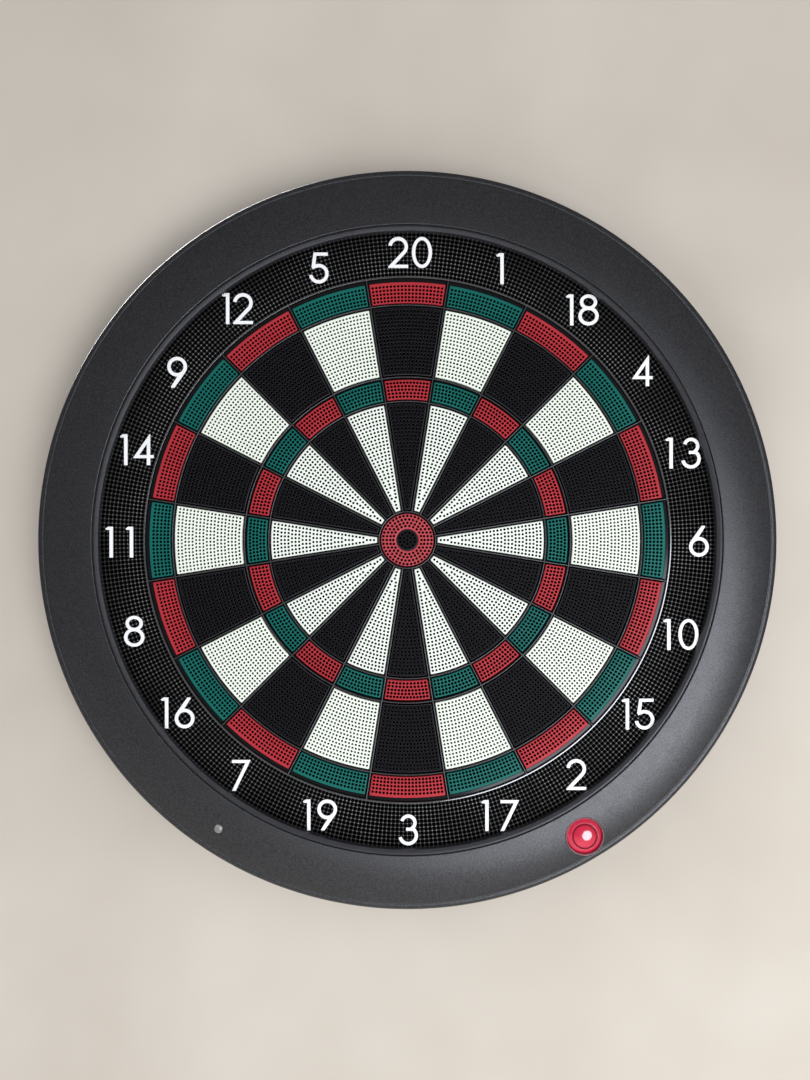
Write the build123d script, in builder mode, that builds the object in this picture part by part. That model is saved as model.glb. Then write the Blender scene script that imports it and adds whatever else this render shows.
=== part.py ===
from build123d import *
import math
import os

# Electronic dartboard, hung on a wall. Millimetres.
# +Z is up towards the 20, +X is right as a player sees it, and the face looks along -Y.
# The origin is on the axis of the bull, at the wall plane (y = 0).
# A height h is the distance in front of the wall, so y = -h. Names ending in _H are
# heights, _T thicknesses and _R radii. Places are (x, z) pairs.

# ---------------------------------------------------------------- playing field
SECTORS = 20
SECTOR_DEG = 360 / SECTORS
NUMBERS = [20, 1, 18, 4, 13, 6, 10, 15, 2, 17, 3, 19, 7, 16, 8, 11, 14, 9, 12, 5]

FACE_H = 33.0            # front of the segments
FOOT_H = 21.0            # rear of the segments at rest
FLANGE_T = 1.6           # foot flange that keeps a segment behind the spider
FLANGE_FRONT_H = FOOT_H + FLANGE_T
FLANGE_OUT = 1.25        # how far the flange reaches past the segment's wall
EDGE_CHAMFER = 0.45      # round a segment's face
SIDE_GAP = 1.55          # segment wall to sector boundary line
BANDS = (                # wall radii of the four bands in each sector
    (23.05, 104.05),     # inner single
    (107.15, 122.35),    # triple
    (125.95, 177.35),    # outer single
    (180.55, 196.85),    # double
)
BULL_INNER_R = 8.0
BULL_BORE_R = 8.25
BULL_OUTER_R = 20.0
BULL_EDGE = 0.4          # bevel round the bull faces

# ---------------------------------------------------------------- spider
SPIDER_FOOT_H = 22.8
SPIDER_EDGE_H = 32.1     # where the sloping flanks start
SPIDER_TOP_H = 33.7
WALL_T = 2.4
RIDGE_T = 0.8
RING_MIDDLES = (21.55, 105.6, 124.15, 178.95)
SPOKE_END_R = 199.6
SPIDER_RIM_IN = 197.25
SPIDER_RIM_OUT = 201.0
RIM_WALL_IN = 199.0      # bore of the rim behind its inner lip
LUG_R = 3.6
LUG_T = 4.0

# ---------------------------------------------------------------- catch ring and numerals
CATCH_IN = 201.2
CATCH_FACE_H = 32.5
CATCH_FOOT_H = 26.0
CATCH_WALL_R = 234.5
RIM_IN = 234.9
RIM_OUT = 238.2
RIM_H = 37.0
DRAWN_HEIGHT = 24.0      # digits are drawn this tall, then scaled to NUMERAL_HEIGHT
NUMERAL_HEIGHT = 23.52
NUMERAL_T = 1.0
STROKE = 2.6             # width of most numeral strokes
BOWL_STROKE = 2.55       # width of the bowls of 3 and 5
THIN = 2.35              # level strokes and crossbars

# ---------------------------------------------------------------- housing and rear cover
HOUSE_IN = 239.5
LEDGE_IN = 238.4         # shallow step between the rim and the surround
HOUSE_OUT = 284.0
COVER_R = 276.8
COVER_H = 1.0
COVER_T = 2.2
CUT_H = 0.5              # cuts from the rear start here, behind the cover
POST_ROOT_H = 2.0        # posts start here, inside the cover's floor

# ---------------------------------------------------------------- plate, membrane and screws
PLATE_R = 208.5
PLATE_H = 13.0
PLATE_T = 3.0
PLATE_FRONT_H = PLATE_H + PLATE_T
MAT_R = 196.5
MAT_T = 2.5
FILM_T = 0.25
SPACER_T = 0.5
MEMBRANE_FRONT_H = PLATE_FRONT_H + 2 * FILM_T + SPACER_T
TAIL_X = (-17, 17)       # middles of the two membrane tails
TAIL_WIDTH = 22.0
TAIL_SLOT_SIZE = (25.0, 2.4)

SCREW_R = 1.5
SCREW_HOLE_R = 1.56
SCREW_HEAD_R = 2.8
SCREW_HEAD_T = 1.9
SHANK = 6.0              # chassis screws
COVER_SCREW_HEAD_H = 6.1
COVER_SCREW_SHANK = 12.0
BOLT_R = 204.5
RING_SCREW_R = 226.0
COVER_SCREW_R = 258.0
RING_SCREW_SEAT_H = 23.4  # rear of the housing's inner flange

# ---------------------------------------------------------------- electronics
BOARD_H = 5.4
BOARD_T = 1.6
BOARD_FRONT_H = BOARD_H + BOARD_T
BOARD_SPOTS = [(-54, -176), (54, -176), (-54, -124), (54, -124)]
BOARD_HOLE_R = 1.2
PILOT_R = 1.06           # holes the board screws bite into
RADIO_T = 0.8
SENSOR_Z = -78.0         # impact sensor, below the bracket pocket
SENSOR_T = 0.5
SENSOR_BACK_T = 0.4      # smaller disc on the sensor's rear

# ---------------------------------------------------------------- controls
BUTTON_X, BUTTON_Z = 134.8, -225.2
BUTTON = (BUTTON_X, BUTTON_Z)
BUTTON_R = 13.7
BUTTON_TOP_H = 36.9      # the dome's highest point
DOME_R = 20.4            # spherical radius of the dome
DOME_EDGE_R = 8.6
BEZEL_BORE_R = BUTTON_R + 0.08
BUTTON_BOARD_H = 17.0
BUTTON_BOARD_FRONT_H = BUTTON_BOARD_H + BOARD_T
BUTTON_BOARD_SPOTS = [(BUTTON_X - 13, BUTTON_Z), (BUTTON_X + 13, BUTTON_Z)]
SWITCH_T = 3.5
LENS = (-143.7, -219.5)
LENS_FLANGE_H = 28.6
LENS_FLANGE_T = 1.0
LED_BOARD_H = 22.4
LED_BOARD_T = 1.2

# ---------------------------------------------------------------- battery box
CELL_R = 7.1
CELL_H = 10.7            # height of the cell axes
CELL_Z = (-223.0, -238.0, -253.0)
CELL_BODY = 49.0
CELL_FLAT_X = 24.75      # flat end, to one side of x = 0
CELL_TIP = (2.75, 1.2)   # radius and length of the positive tip
CONTACT_T = 0.4
BOX_X = 28.3
BOX_Z0, BOX_Z1 = -262.0, -214.0
BATTERY_Z = (BOX_Z0 + BOX_Z1) / 2
HINGE_Z, HINGE_H = -213.3, 2.2
DOOR_SCREW_X = 34.6
DOOR_SCREW = (DOOR_SCREW_X, BATTERY_Z)
TONGUE_LENGTH = 39.2     # bar across the door that ends at the door screw

# ---------------------------------------------------------------- wall mounting
BRACKET_WIDTH, BRACKET_HEIGHT = 90, 80
BRACKET_T = 2.0
BRACKET_HOLE_R = 2.6
BRACKET_PITCH_X, BRACKET_PITCH_Z = 64.0, 52.0
BRACKET_Z = 0.0          # the bracket's middle is behind the bull
BRACKET_NECK = 3.8
LIFT = 14.0              # how far the board is lifted to come off the bracket
POCKET_WALL = 2.2
POCKET_WIDTH = 94.6
POCKET_HEIGHT = BRACKET_HEIGHT + LIFT + 3.6
HANGER_H = 2.9
HANGER_T = 2.0
HANGER_HOLE_R = SCREW_HOLE_R + 0.1
COUNTERSINK_H = 4.1      # front end of the countersinks and the screw heads
HANGER_SPOTS = [(x, BRACKET_Z + z) for x in (-36, 36) for z in (2, 34)]
PAD_SPOTS = [(-130, -150), (130, -150), (-170, 100), (170, 100)]
PAD_R = 10.0
PAD_T = 2.0


# ---------------------------------------------------------------- helpers
# A sketch made inside a helper doesn't join the caller's part by itself, so these
# helpers hand it to extrude or revolve, which act on the part in hand.
TOWARDS_PLAYER = (0, -1, 0)
CENTRE = ((0, 0),)


def front(h, deg=0.0):
    """Plane parallel to the wall at height h, facing the player, turned clockwise by deg."""
    turn = math.radians(deg)
    return Plane(origin=(0, -h, 0), x_dir=(math.cos(turn), 0, -math.sin(turn)), z_dir=(0, -1, 0))


def polar(radius, deg):
    """Point (x, z) at a clockwise angle from the top."""
    angle = math.radians(deg)
    return (radius * math.sin(angle), radius * math.cos(angle))


def ring_of(radius, count, first=0):
    return [polar(radius, first + i * 360 / count) for i in range(count)]


def discs(radius, h, length, spots=CENTRE, mode=Mode.ADD):
    """Cylinders at each spot, from height h towards the player."""
    with BuildSketch(front(h)) as outline:
        with Locations(*spots):
            Circle(radius)
    extrude(outline.sketch, amount=length, dir=TOWARDS_PLAYER, mode=mode)


def blocks(width, height, h, length, spots=CENTRE, corner=0, mode=Mode.ADD):
    """Blocks width by height (x by z) at each spot, from height h towards the player."""
    with BuildSketch(front(h)) as outline:
        with Locations(*spots):
            if corner:
                RectangleRounded(width, height, corner)
            else:
                Rectangle(width, height)
    extrude(outline.sketch, amount=length, dir=TOWARDS_PLAYER, mode=mode)


def cut_crosses(span, width, spots):
    """Cross slots in screw heads, 1 mm into a head whose rear is on a 2 mm deep cut."""
    raise NotImplementedError


def cut_cross_slots(span, width, h, length, spots):
    """Cross slots cut in the rear of screw heads."""
    with BuildSketch(front(h)) as outline:
        with Locations(*spots):
            Rectangle(span, width)
            Rectangle(width, span)
    extrude(outline.sketch, amount=length, dir=TOWARDS_PLAYER, mode=Mode.SUBTRACT)


del cut_crosses


def to_local(profile):
    """(distance, h) points as sketch points on a plane whose second axis is +Y."""
    return [(across, -h) for across, h in profile]


def turn_profile(profile):
    """Revolve a closed (radius, h) outline about the axis of the bull."""
    with BuildSketch(Plane.XY) as outline:
        Polygon(*to_local(profile), align=None)
    revolve(outline.sketch, axis=Axis.Y)


def save(part, label):
    part.label = label
    export_step(part, f"parts/{label}.step")


LUG_SPOTS = ring_of(BOLT_R, 10)                     # spider to backing plate
PLATE_SPOTS = ring_of(BOLT_R, 10, SECTOR_DEG)       # backing plate to rear cover
RING_SPOTS = ring_of(RING_SCREW_R, 10, SECTOR_DEG / 2)
COVER_SPOTS = ring_of(COVER_SCREW_R, 10, SECTOR_DEG)


# Each function below returns the piece it is named after, unless it says otherwise.
# ---------------------------------------------------------------- scoring segments
def sector_outline(inner, outer, gap):
    """Outline of one band cell: two arcs and two sides parallel to the sector boundary."""
    half = SECTOR_DEG / 2
    inner_deg = half - math.degrees(math.asin(gap / inner))
    outer_deg = half - math.degrees(math.asin(gap / outer))
    inner_arc = [polar(inner, deg) for deg in (-inner_deg, 0, inner_deg)]
    outer_arc = [polar(outer, deg) for deg in (outer_deg, 0, -outer_deg)]
    ThreePointArc(*inner_arc)
    Line(inner_arc[-1], outer_arc[0])
    ThreePointArc(*outer_arc)
    Line(outer_arc[-1], inner_arc[0])


def sector(deg):
    """The four segments of the sector at a clockwise angle from the top."""
    with BuildPart() as piece:
        for inner, outer in BANDS:
            with BuildSketch(front(FOOT_H, deg)):
                with BuildLine():
                    sector_outline(inner, outer, SIDE_GAP)
                make_face()
            extrude(amount=FACE_H - FOOT_H)
        # the faces are chamfered before the flanges are added
        chamfer(piece.edges().group_by(Axis.Y)[0], EDGE_CHAMFER)
        for inner, outer in BANDS:
            with BuildSketch(front(FOOT_H, deg)):
                with BuildLine():
                    sector_outline(inner - FLANGE_OUT, outer + FLANGE_OUT, SIDE_GAP - FLANGE_OUT)
                make_face()
            extrude(amount=FLANGE_T)
    return piece.part


def outer_bull():
    flange_r = 21.3
    recess_r, recess_h = 12.0, 24.2  # room behind for the inner bull's flange
    with BuildPart() as piece:
        turn_profile([
            (recess_r, FOOT_H), (flange_r, FOOT_H), (flange_r, FLANGE_FRONT_H),
            (BULL_OUTER_R, FLANGE_FRONT_H), (BULL_OUTER_R, FACE_H - BULL_EDGE),
            (BULL_OUTER_R - BULL_EDGE, FACE_H), (BULL_BORE_R + 0.6, FACE_H),
            (BULL_BORE_R, FACE_H - 0.7), (BULL_BORE_R, recess_h), (recess_r, recess_h)])
    return piece.part


def inner_bull():
    flange_r, flange_front = 11.0, FOOT_H + 1.4
    with BuildPart() as piece:
        turn_profile([
            (0, FOOT_H), (flange_r, FOOT_H), (flange_r, flange_front),
            (BULL_INNER_R, flange_front), (BULL_INNER_R, FACE_H - BULL_EDGE),
            (BULL_INNER_R - BULL_EDGE, FACE_H), (0, FACE_H)])
    return piece.part


# ---------------------------------------------------------------- spider and catch ring
def wall_section(middle):
    """(distance, h) section of a spider wall with a narrow ridge, centred on middle."""
    left, right = middle - WALL_T / 2, middle + WALL_T / 2
    return [(left, SPIDER_FOOT_H), (right, SPIDER_FOOT_H), (right, SPIDER_EDGE_H),
            (middle + RIDGE_T / 2, SPIDER_TOP_H), (middle - RIDGE_T / 2, SPIDER_TOP_H),
            (left, SPIDER_EDGE_H)]


def spider():
    with BuildPart() as piece:
        for middle in RING_MIDDLES:
            turn_profile(wall_section(middle))
        for i in range(SECTORS):
            angle = math.radians((i + 0.5) * SECTOR_DEG)
            outward = Vector(math.sin(angle), 0, math.cos(angle))
            across = Vector(math.cos(angle), 0, -math.sin(angle))
            with BuildSketch(Plane(outward * RING_MIDDLES[0], x_dir=across, z_dir=outward)):
                Polygon(*to_local(wall_section(0)), align=None)
            extrude(amount=SPOKE_END_R - RING_MIDDLES[0])
        # outer rim stands on the backing plate and carries the screw lugs
        turn_profile([
            (RIM_WALL_IN, PLATE_FRONT_H), (SPIDER_RIM_OUT, PLATE_FRONT_H),
            (SPIDER_RIM_OUT, 34.0), (200.1, 34.0), (199.7, 33.4), (199.4, 31.9),
            (SPIDER_RIM_IN, 31.7), (SPIDER_RIM_IN, SPIDER_FOOT_H),
            (RIM_WALL_IN, SPIDER_FOOT_H)])
        discs(LUG_R, PLATE_FRONT_H, LUG_T, LUG_SPOTS)
        discs(SCREW_HOLE_R, PLATE_FRONT_H - 1, 8.0, LUG_SPOTS, Mode.SUBTRACT)
    return piece.part


def catch_ring():
    with BuildPart() as piece:
        turn_profile([
            (CATCH_IN, CATCH_FOOT_H), (RIM_OUT, CATCH_FOOT_H), (RIM_OUT, RIM_H - 0.5),
            (RIM_OUT - 0.5, RIM_H), (RIM_IN, RIM_H - 0.8), (CATCH_WALL_R, RIM_H - 1.1),
            (CATCH_WALL_R, CATCH_FACE_H), (CATCH_IN, CATCH_FACE_H)])
        # blind holes from the rear
        discs(SCREW_HOLE_R, CATCH_FOOT_H - 1, 5.0, RING_SPOTS, Mode.SUBTRACT)
    return piece.part


# ---------------------------------------------------------------- numerals
def arc_band(x, z, radius, from_deg, to_deg, width, steps=28):
    """Closed outline of a stroke along an arc about (x, z); radius is its outer one."""
    outer, inner = [], []
    for k in range(steps + 1):
        angle = math.radians(from_deg + (to_deg - from_deg) * k / steps)
        for points, reach in ((outer, radius), (inner, radius - width)):
            points.append((x + reach * math.cos(angle), z + reach * math.sin(angle)))
    return outer + inner[::-1]


# Digits made only of filled strokes: closed (x, z) outlines about the digit's centre.
STROKE_DIGITS = {
    1: [[(-1.3, -12), (1.3, -12), (1.3, 12), (-2.3, 12), (-4.5, 10.55), (-3.9, 9.5),
         (-1.3, 9.5)]],
    2: [arc_band(-0.1, 4.4, 7.6, 172, -44, STROKE),
        [(5.37, -0.88), (3.5, 0.93), (-7.7, -10.9), (-7.7, -12.0), (-5.1, -12.0)],
        [(-7.7, -12), (7.7, -12), (7.7, -12 + THIN), (-5.0, -12 + THIN)]],
    3: [arc_band(0.15, 5.6, 6.4, 165, -62, BOWL_STROKE),
        arc_band(0.0, -4.4, 7.6, 62, -168, BOWL_STROKE),
        [(-1.6, -0.65), (4.2, -0.65), (4.6, 1.0), (3.4, 1.85), (-1.6, 1.75)]],
    5: [arc_band(0.0, -4.4, 7.6, 122, -170, BOWL_STROKE),
        [(-4.1, 12), (7.0, 12), (7.0, 12 - THIN), (-1.9, 12 - THIN), (-2.75, 1.5),
         (-4.0, 2.0), (-5.6, 0.6)],
        [(-2.5, 2.3), (-5.5, 0.9), (-4.75, -0.85), (-2.5, 0.05)]],
    7: [[(-7.15, 12), (7.35, 12), (-4.25, -12), (-7.15, -12), (3.3, 12 - THIN),
         (-7.15, 12 - THIN)]],
}
FOUR_OUTLINE = [(-8.1, -6.55), (2.7, -6.55), (2.7, -12), (5.3, -12), (5.3, -6.55), (8.1, -6.55),
                (8.1, -4.2), (5.3, -4.2), (5.3, 12), (4.8, 12)]
FOUR_HOLE = [(-3.45, -4.2), (2.7, -4.2), (2.7, 4.65)]
SIX_TAIL = [(2.1, 12.0), (4.35, 12.0), (4.8, 11.3), (-2.3, 0.1), (-6.35, -0.05)]
# z of the centre, half axes in x and z; the outer ovals first, then their holes
EIGHT_OVALS = [
    (6.1, 6.7, 5.9, Mode.ADD), (-4.75, 7.9, 7.25, Mode.ADD),
    (6.1, 4.15, 3.45, Mode.SUBTRACT), (-4.75, 5.3, 4.75, Mode.SUBTRACT),
]


def draw_zero():
    half_width, half_height = 7.8, 12.0
    Ellipse(half_width, half_height)
    Ellipse(half_width - STROKE, half_height - THIN, mode=Mode.SUBTRACT)


def draw_four():
    Polygon(*FOUR_OUTLINE, align=None)
    Polygon(*FOUR_HOLE, align=None, mode=Mode.SUBTRACT)


def draw_six(way):
    """A 6 with way = 1, or the same turned half round, a 9, with way = -1."""
    bowl, bowl_r = (0, -way * 4.35), 7.65
    with Locations(bowl):
        Circle(bowl_r)
    Polygon(*[(way * x, way * z) for x, z in SIX_TAIL], align=None)
    with Locations(bowl):
        Circle(bowl_r - STROKE, mode=Mode.SUBTRACT)


def draw_eight():
    for z, half_width, half_height, mode in EIGHT_OVALS:
        with Locations((0, z)):
            Ellipse(half_width, half_height, mode=mode)


def draw_digit(digit):
    """Adds one digit, DRAWN_HEIGHT tall about its centre, to the sketch in hand."""
    if digit == 0:
        draw_zero()
    elif digit == 4:
        draw_four()
    elif digit in (6, 9):
        draw_six(1 if digit == 6 else -1)
    elif digit == 8:
        draw_eight()
    else:
        for outline in STROKE_DIGITS[digit]:
            Polygon(*outline, align=None)


# digit, x and z of its centre
DIGITS = [
    (2, -6.9, 219.1), (0, 11.1, 219.1), (1, 72.1, 206.7), (1, 125.2, 175.3), (8, 138.0, 175.3),
    (4, 178.9, 129.0), (1, 200.9, 66.2), (3, 216.0, 66.2), (6, 222.1, -0.9), (1, 199.2, -71.9),
    (0, 214.1, -71.9), (1, 167.6, -132.6), (5, 180.6, -132.6), (2, 128.7, -178.6),
    (1, 60.6, -209.9), (7, 77.9, -209.9), (3, 0.6, -220.8), (1, -75.1, -209.4),
    (9, -61.1, -209.4), (7, -126.6, -179.3), (1, -183.4, -131.7), (6, -169.7, -131.7),
    (8, -208.1, -69.5), (1, -225.6, -1.6), (1, -210.2, -1.6), (1, -214.5, 68.8),
    (4, -201.1, 68.8), (9, -175.4, 127.8), (1, -136.9, 176.3), (2, -125.2, 176.3),
    (5, -67.5, 207.2),
]


def numerals():
    with BuildPart() as piece:
        for digit, x, z in DIGITS:
            with BuildSketch(mode=Mode.PRIVATE) as glyph:
                draw_digit(digit)
            face = scale(glyph.sketch, by=NUMERAL_HEIGHT / DRAWN_HEIGHT, mode=Mode.PRIVATE)
            with BuildSketch(front(CATCH_FACE_H)):
                with Locations((x, z)):
                    add(face)
            extrude(amount=NUMERAL_T)
    return piece.part


# ---------------------------------------------------------------- front housing
def front_housing():
    with BuildPart() as piece:
        # section as (radius, -h): the inner flange, the outside, then back along the inside
        with BuildSketch(Plane.XY):
            with BuildLine():
                Polyline((214.0, -23.4), (214.0, -25.9), (LEDGE_IN, -25.9), (LEDGE_IN, -35.0),
                         (HOUSE_IN, -35.0), (HOUSE_IN, -35.9), (240.0, -36.4))
                ThreePointArc((240.0, -36.4), (259.5, -35.0), (278.1, -31.6))
                Polyline((278.1, -31.6), (278.5, -30.9), (279.3, -30.9))
                ThreePointArc((279.3, -30.9), (283.1, -29.1), (HOUSE_OUT, -26.0))
                Polyline((HOUSE_OUT, -26.0), (HOUSE_OUT, -20.0), (279.6, -8.0), (277.2, -8.0),
                         (281.5, -20.0), (281.5, -25.6), (279.2, -28.2), (277.0, -28.9))
                ThreePointArc((277.0, -28.9), (259.0, -32.6), (242.1, -33.8))
                Polyline((242.1, -33.8), (242.1, -23.4), (214.0, -23.4))
            make_face()
        revolve(axis=Axis.Y)
        # screw posts down to the rear cover
        discs(4.2, 12.2, 21.3, COVER_SPOTS)
        discs(SCREW_HOLE_R, 12.0, 14.0, COVER_SPOTS, Mode.SUBTRACT)
        # holes for the button bezel, the status lens and the ring screws
        for radius, spots in ((14.9, [BUTTON]), (3.6, [LENS]), (SCREW_HOLE_R, RING_SPOTS)):
            discs(radius, 20.0, 20.0, spots, Mode.SUBTRACT)
    return piece.part


# ---------------------------------------------------------------- rear cover
def door_outline(width, bottom, top, ear_radius):
    """Adds the battery door's shape, with its tongue and round ear, to the sketch in hand."""
    with Locations((0, (bottom + top) / 2)):
        Rectangle(width, top - bottom)
    with Locations(DOOR_SCREW):
        Circle(ear_radius)
    with Locations((DOOR_SCREW_X - TONGUE_LENGTH / 2, BATTERY_Z)):
        Rectangle(TONGUE_LENGTH, 2 * ear_radius)


def hinge_rod(radius, half_length, mode=Mode.ADD):
    """Rod along X on the door's hinge line."""
    with BuildSketch(Plane.YZ.offset(-half_length)) as outline:
        with Locations((-HINGE_H, HINGE_Z)):
            Circle(radius)
    extrude(outline.sketch, amount=2 * half_length, dir=(1, 0, 0), mode=mode)


def add_cover_posts():
    # radius, height of the front end, places
    for radius, top, spots in (
        (4.0, PLATE_H, PLATE_SPOTS),
        (5.6, 12.0, COVER_SPOTS),
        (3.0, BOARD_H, BOARD_SPOTS),
        (2.6, BUTTON_BOARD_H, BUTTON_BOARD_SPOTS),
        (3.4, LED_BOARD_H, [LENS]),
    ):
        discs(radius, POST_ROOT_H, top - POST_ROOT_H, spots)


def add_battery_box():
    """Walls and hollow of the box, then the seat, screw hole and hinge of its door."""
    box_height = BOX_Z1 - BOX_Z0
    with BuildSketch(front(2.4)) as walls:
        with Locations((0, BATTERY_Z)):
            Rectangle(2 * BOX_X + 8.4, box_height + 8.8)
        with Locations(DOOR_SCREW):
            Circle(5.0)
    extrude(walls.sketch, amount=17.8, dir=TOWARDS_PLAYER)
    blocks(2 * BOX_X, box_height, CUT_H, 17.9, [(0, BATTERY_Z)], mode=Mode.SUBTRACT)
    with BuildSketch(front(CUT_H)) as seat:
        door_outline(61.0, -264.5, -211.5, 5.1)
    extrude(seat.sketch, amount=2.7, dir=TOWARDS_PLAYER, mode=Mode.SUBTRACT)
    discs(1.9, 2.0, 9.0, [DOOR_SCREW], Mode.SUBTRACT)
    hinge_rod(1.0, 32.3, Mode.SUBTRACT)


def add_bracket_pocket():
    """Pocket for the wall bracket, open to the rear, with posts for the hanger plate."""
    middle = [(0, BRACKET_Z - LIFT / 2)]
    blocks(POCKET_WIDTH + 2 * POCKET_WALL, POCKET_HEIGHT + 2 * POCKET_WALL, 2.0, 9.4, middle)
    blocks(POCKET_WIDTH, POCKET_HEIGHT, CUT_H, 9.1, middle, mode=Mode.SUBTRACT)
    discs(4.0, HANGER_H + HANGER_T, 5.2, HANGER_SPOTS)
    discs(SCREW_HOLE_R, 4.0, 5.4, HANGER_SPOTS, Mode.SUBTRACT)


def cut_cover_holes():
    # radius, height of the rear end, depth, places
    for radius, h, depth, spots in (
        (PAD_R + 0.2, 0.0, PAD_T, PAD_SPOTS),
        (3.3, CUT_H, 7.5, COVER_SPOTS),
        (SCREW_HOLE_R, CUT_H, 12.0, COVER_SPOTS),
        (SCREW_HOLE_R, 6.0, 7.5, PLATE_SPOTS),
        (PILOT_R, 3.3, 2.5, BOARD_SPOTS),
        (PILOT_R, 12.0, 5.5, BUTTON_BOARD_SPOTS),
    ):
        discs(radius, h, depth, spots, Mode.SUBTRACT)


def rear_cover():
    floor_front = COVER_H + COVER_T
    with BuildPart() as piece:
        turn_profile([
            (0, COVER_H), (267.0, COVER_H), (COVER_R, 8.0), (COVER_R, 14.0), (274.4, 14.0),
            (274.4, 9.1), (266.2, floor_front), (0, floor_front)])
        add_cover_posts()
        add_battery_box()
        add_bracket_pocket()
        cut_cover_holes()
    return piece.part


# ---------------------------------------------------------------- backing plate, films and mat
def backing_plate():
    with BuildPart() as piece:
        with BuildSketch(front(PLATE_H)):
            Circle(PLATE_R)
            with Locations(*(LUG_SPOTS + PLATE_SPOTS)):
                Circle(SCREW_HOLE_R, mode=Mode.SUBTRACT)
            with Locations(*[(x, -188.5) for x in TAIL_X]):
                Rectangle(*TAIL_SLOT_SIZE, mode=Mode.SUBTRACT)
        extrude(amount=PLATE_T)
    return piece.part


def membrane_films():
    with BuildPart() as piece:
        discs(MAT_R, PLATE_FRONT_H, FILM_T)
        discs(MAT_R, PLATE_FRONT_H + FILM_T + SPACER_T, FILM_T)
    return piece.part


def membrane_spacer():
    with BuildPart() as piece:
        with BuildSketch(front(PLATE_FRONT_H + FILM_T)):
            Circle(MAT_R)
            Circle(4.0, mode=Mode.SUBTRACT)
            # a window in the spacer under each segment lets the two films meet:
            # radius of the ring of windows, window radius, number of windows
            for ring_r, window_r, count in (
                (14.0, 3.0, 6), (64.0, 9.0, SECTORS), (114.75, 5.0, SECTORS),
                (151.6, 11.0, SECTORS), (188.7, 5.0, SECTORS),
            ):
                with Locations(*ring_of(ring_r, count)):
                    Circle(window_r, mode=Mode.SUBTRACT)
        extrude(amount=SPACER_T)
    return piece.part


def rubber_mat():
    with BuildPart() as piece:
        discs(MAT_R, MEMBRANE_FRONT_H, MAT_T)
        fillet(piece.edges().group_by(Axis.Y)[0], 0.8)
    return piece.part


def membrane_tails():
    # (y, z) section: back through the plate, up behind it and into the connector
    section = [(-16.0, -188.65), (-16.0, -188.35), (-12.5, -188.35), (-12.5, -126.0),
               (-10.0, -126.0), (-10.0, -126.3), (-12.2, -126.3), (-12.2, -188.65)]
    with BuildPart() as piece:
        for x in TAIL_X:
            with BuildSketch(Plane.YZ.offset(x - TAIL_WIDTH / 2)):
                Polygon(*section, align=None)
            extrude(amount=TAIL_WIDTH)
    return piece.part


# ---------------------------------------------------------------- electronics
def circuit_board(size, corner, middle, h, thickness, holes=()):
    """A rounded board, drilled at the places in holes."""
    with BuildPart() as piece:
        with BuildSketch(front(h)):
            with Locations(middle):
                RectangleRounded(*size, corner)
            if holes:
                with Locations(*holes):
                    Circle(BOARD_HOLE_R, mode=Mode.SUBTRACT)
        extrude(amount=thickness)
    return piece.part


def main_board():
    return circuit_board((122, 64), 3, (0, -150), BOARD_H, BOARD_T, BOARD_SPOTS)


def board_connectors():
    with BuildPart() as piece:
        blocks(25, 5, BOARD_FRONT_H, 3.0, [(x, -126) for x in TAIL_X])
        blocks(7, 5, BOARD_FRONT_H, 3.0, [(57, -168), (-57, -168), (57, -150), (20, -179)])
    return piece.part


def board_components():
    with BuildPart() as piece:
        blocks(14, 14, BOARD_FRONT_H, 1.5, [(-22, -152)])
        blocks(8, 5, BOARD_FRONT_H, 1.5, [(2, -166), (10, -152)])
        discs(3.15, BOARD_FRONT_H, 5.0, [(-42, -146), (-42, -158), (36, -168)])
        fillet(piece.edges().group_by(Axis.Y)[0], 0.5)
    return piece.part


def radio_module():
    with BuildPart() as piece:
        blocks(16, 24, BOARD_FRONT_H, RADIO_T, [(38, -144)])
        blocks(13, 15, BOARD_FRONT_H + RADIO_T, 1.8, [(38, -147)], corner=1)
    return piece.part


def impact_sensor():
    """Two discs against the rear of the backing plate."""
    h = PLATE_H - SENSOR_T
    with BuildPart() as piece:
        discs(13.5, h, SENSOR_T, [(0, SENSOR_Z)])
        discs(9.0, h - SENSOR_BACK_T, SENSOR_BACK_T, [(0, SENSOR_Z)])
    return piece.part


def board_screws():
    shank = 3.4
    with BuildPart() as piece:
        for seat, spots in ((BOARD_FRONT_H, BOARD_SPOTS),
                            (BUTTON_BOARD_FRONT_H, BUTTON_BOARD_SPOTS)):
            discs(1.9, seat, 1.2, spots)
            discs(1.0, seat - shank, shank, spots)
    return piece.part


# ---------------------------------------------------------------- button
def button_cap():
    with BuildPart() as dome:
        discs(DOME_EDGE_R, 33.6, 4.0, [BUTTON])
        with Locations((BUTTON_X, DOME_R - BUTTON_TOP_H, BUTTON_Z)):
            Sphere(DOME_R, mode=Mode.INTERSECT)

    with BuildPart() as piece:
        # (radius, -h) about the button's own axis: a step round the domed middle, a sloping
        # ring and a rounded outer edge, then the skirt and the central stem
        with BuildSketch(Plane(origin=(BUTTON_X, 0, BUTTON_Z), x_dir=(1, 0, 0), z_dir=(0, 0, 1))):
            with BuildLine():
                Polyline((0, -34.3), (9.8, -34.3), (10.2, -34.9))
                ThreePointArc((10.2, -34.9), (12.1, -34.6), (13.3, -33.6))
                Polyline((13.3, -33.6), (BUTTON_R, -33.0), (BUTTON_R, -26.4), (15.0, -26.4),
                         (15.0, -25.0), (11.9, -25.0), (11.9, -33.0), (2.4, -33.0),
                         (2.4, -25.2), (0, -25.2), (0, -34.3))
            make_face()
        revolve(axis=Axis((BUTTON_X, 0, BUTTON_Z), (0, 1, 0)))
        add(dome.part)
    return piece.part


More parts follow.
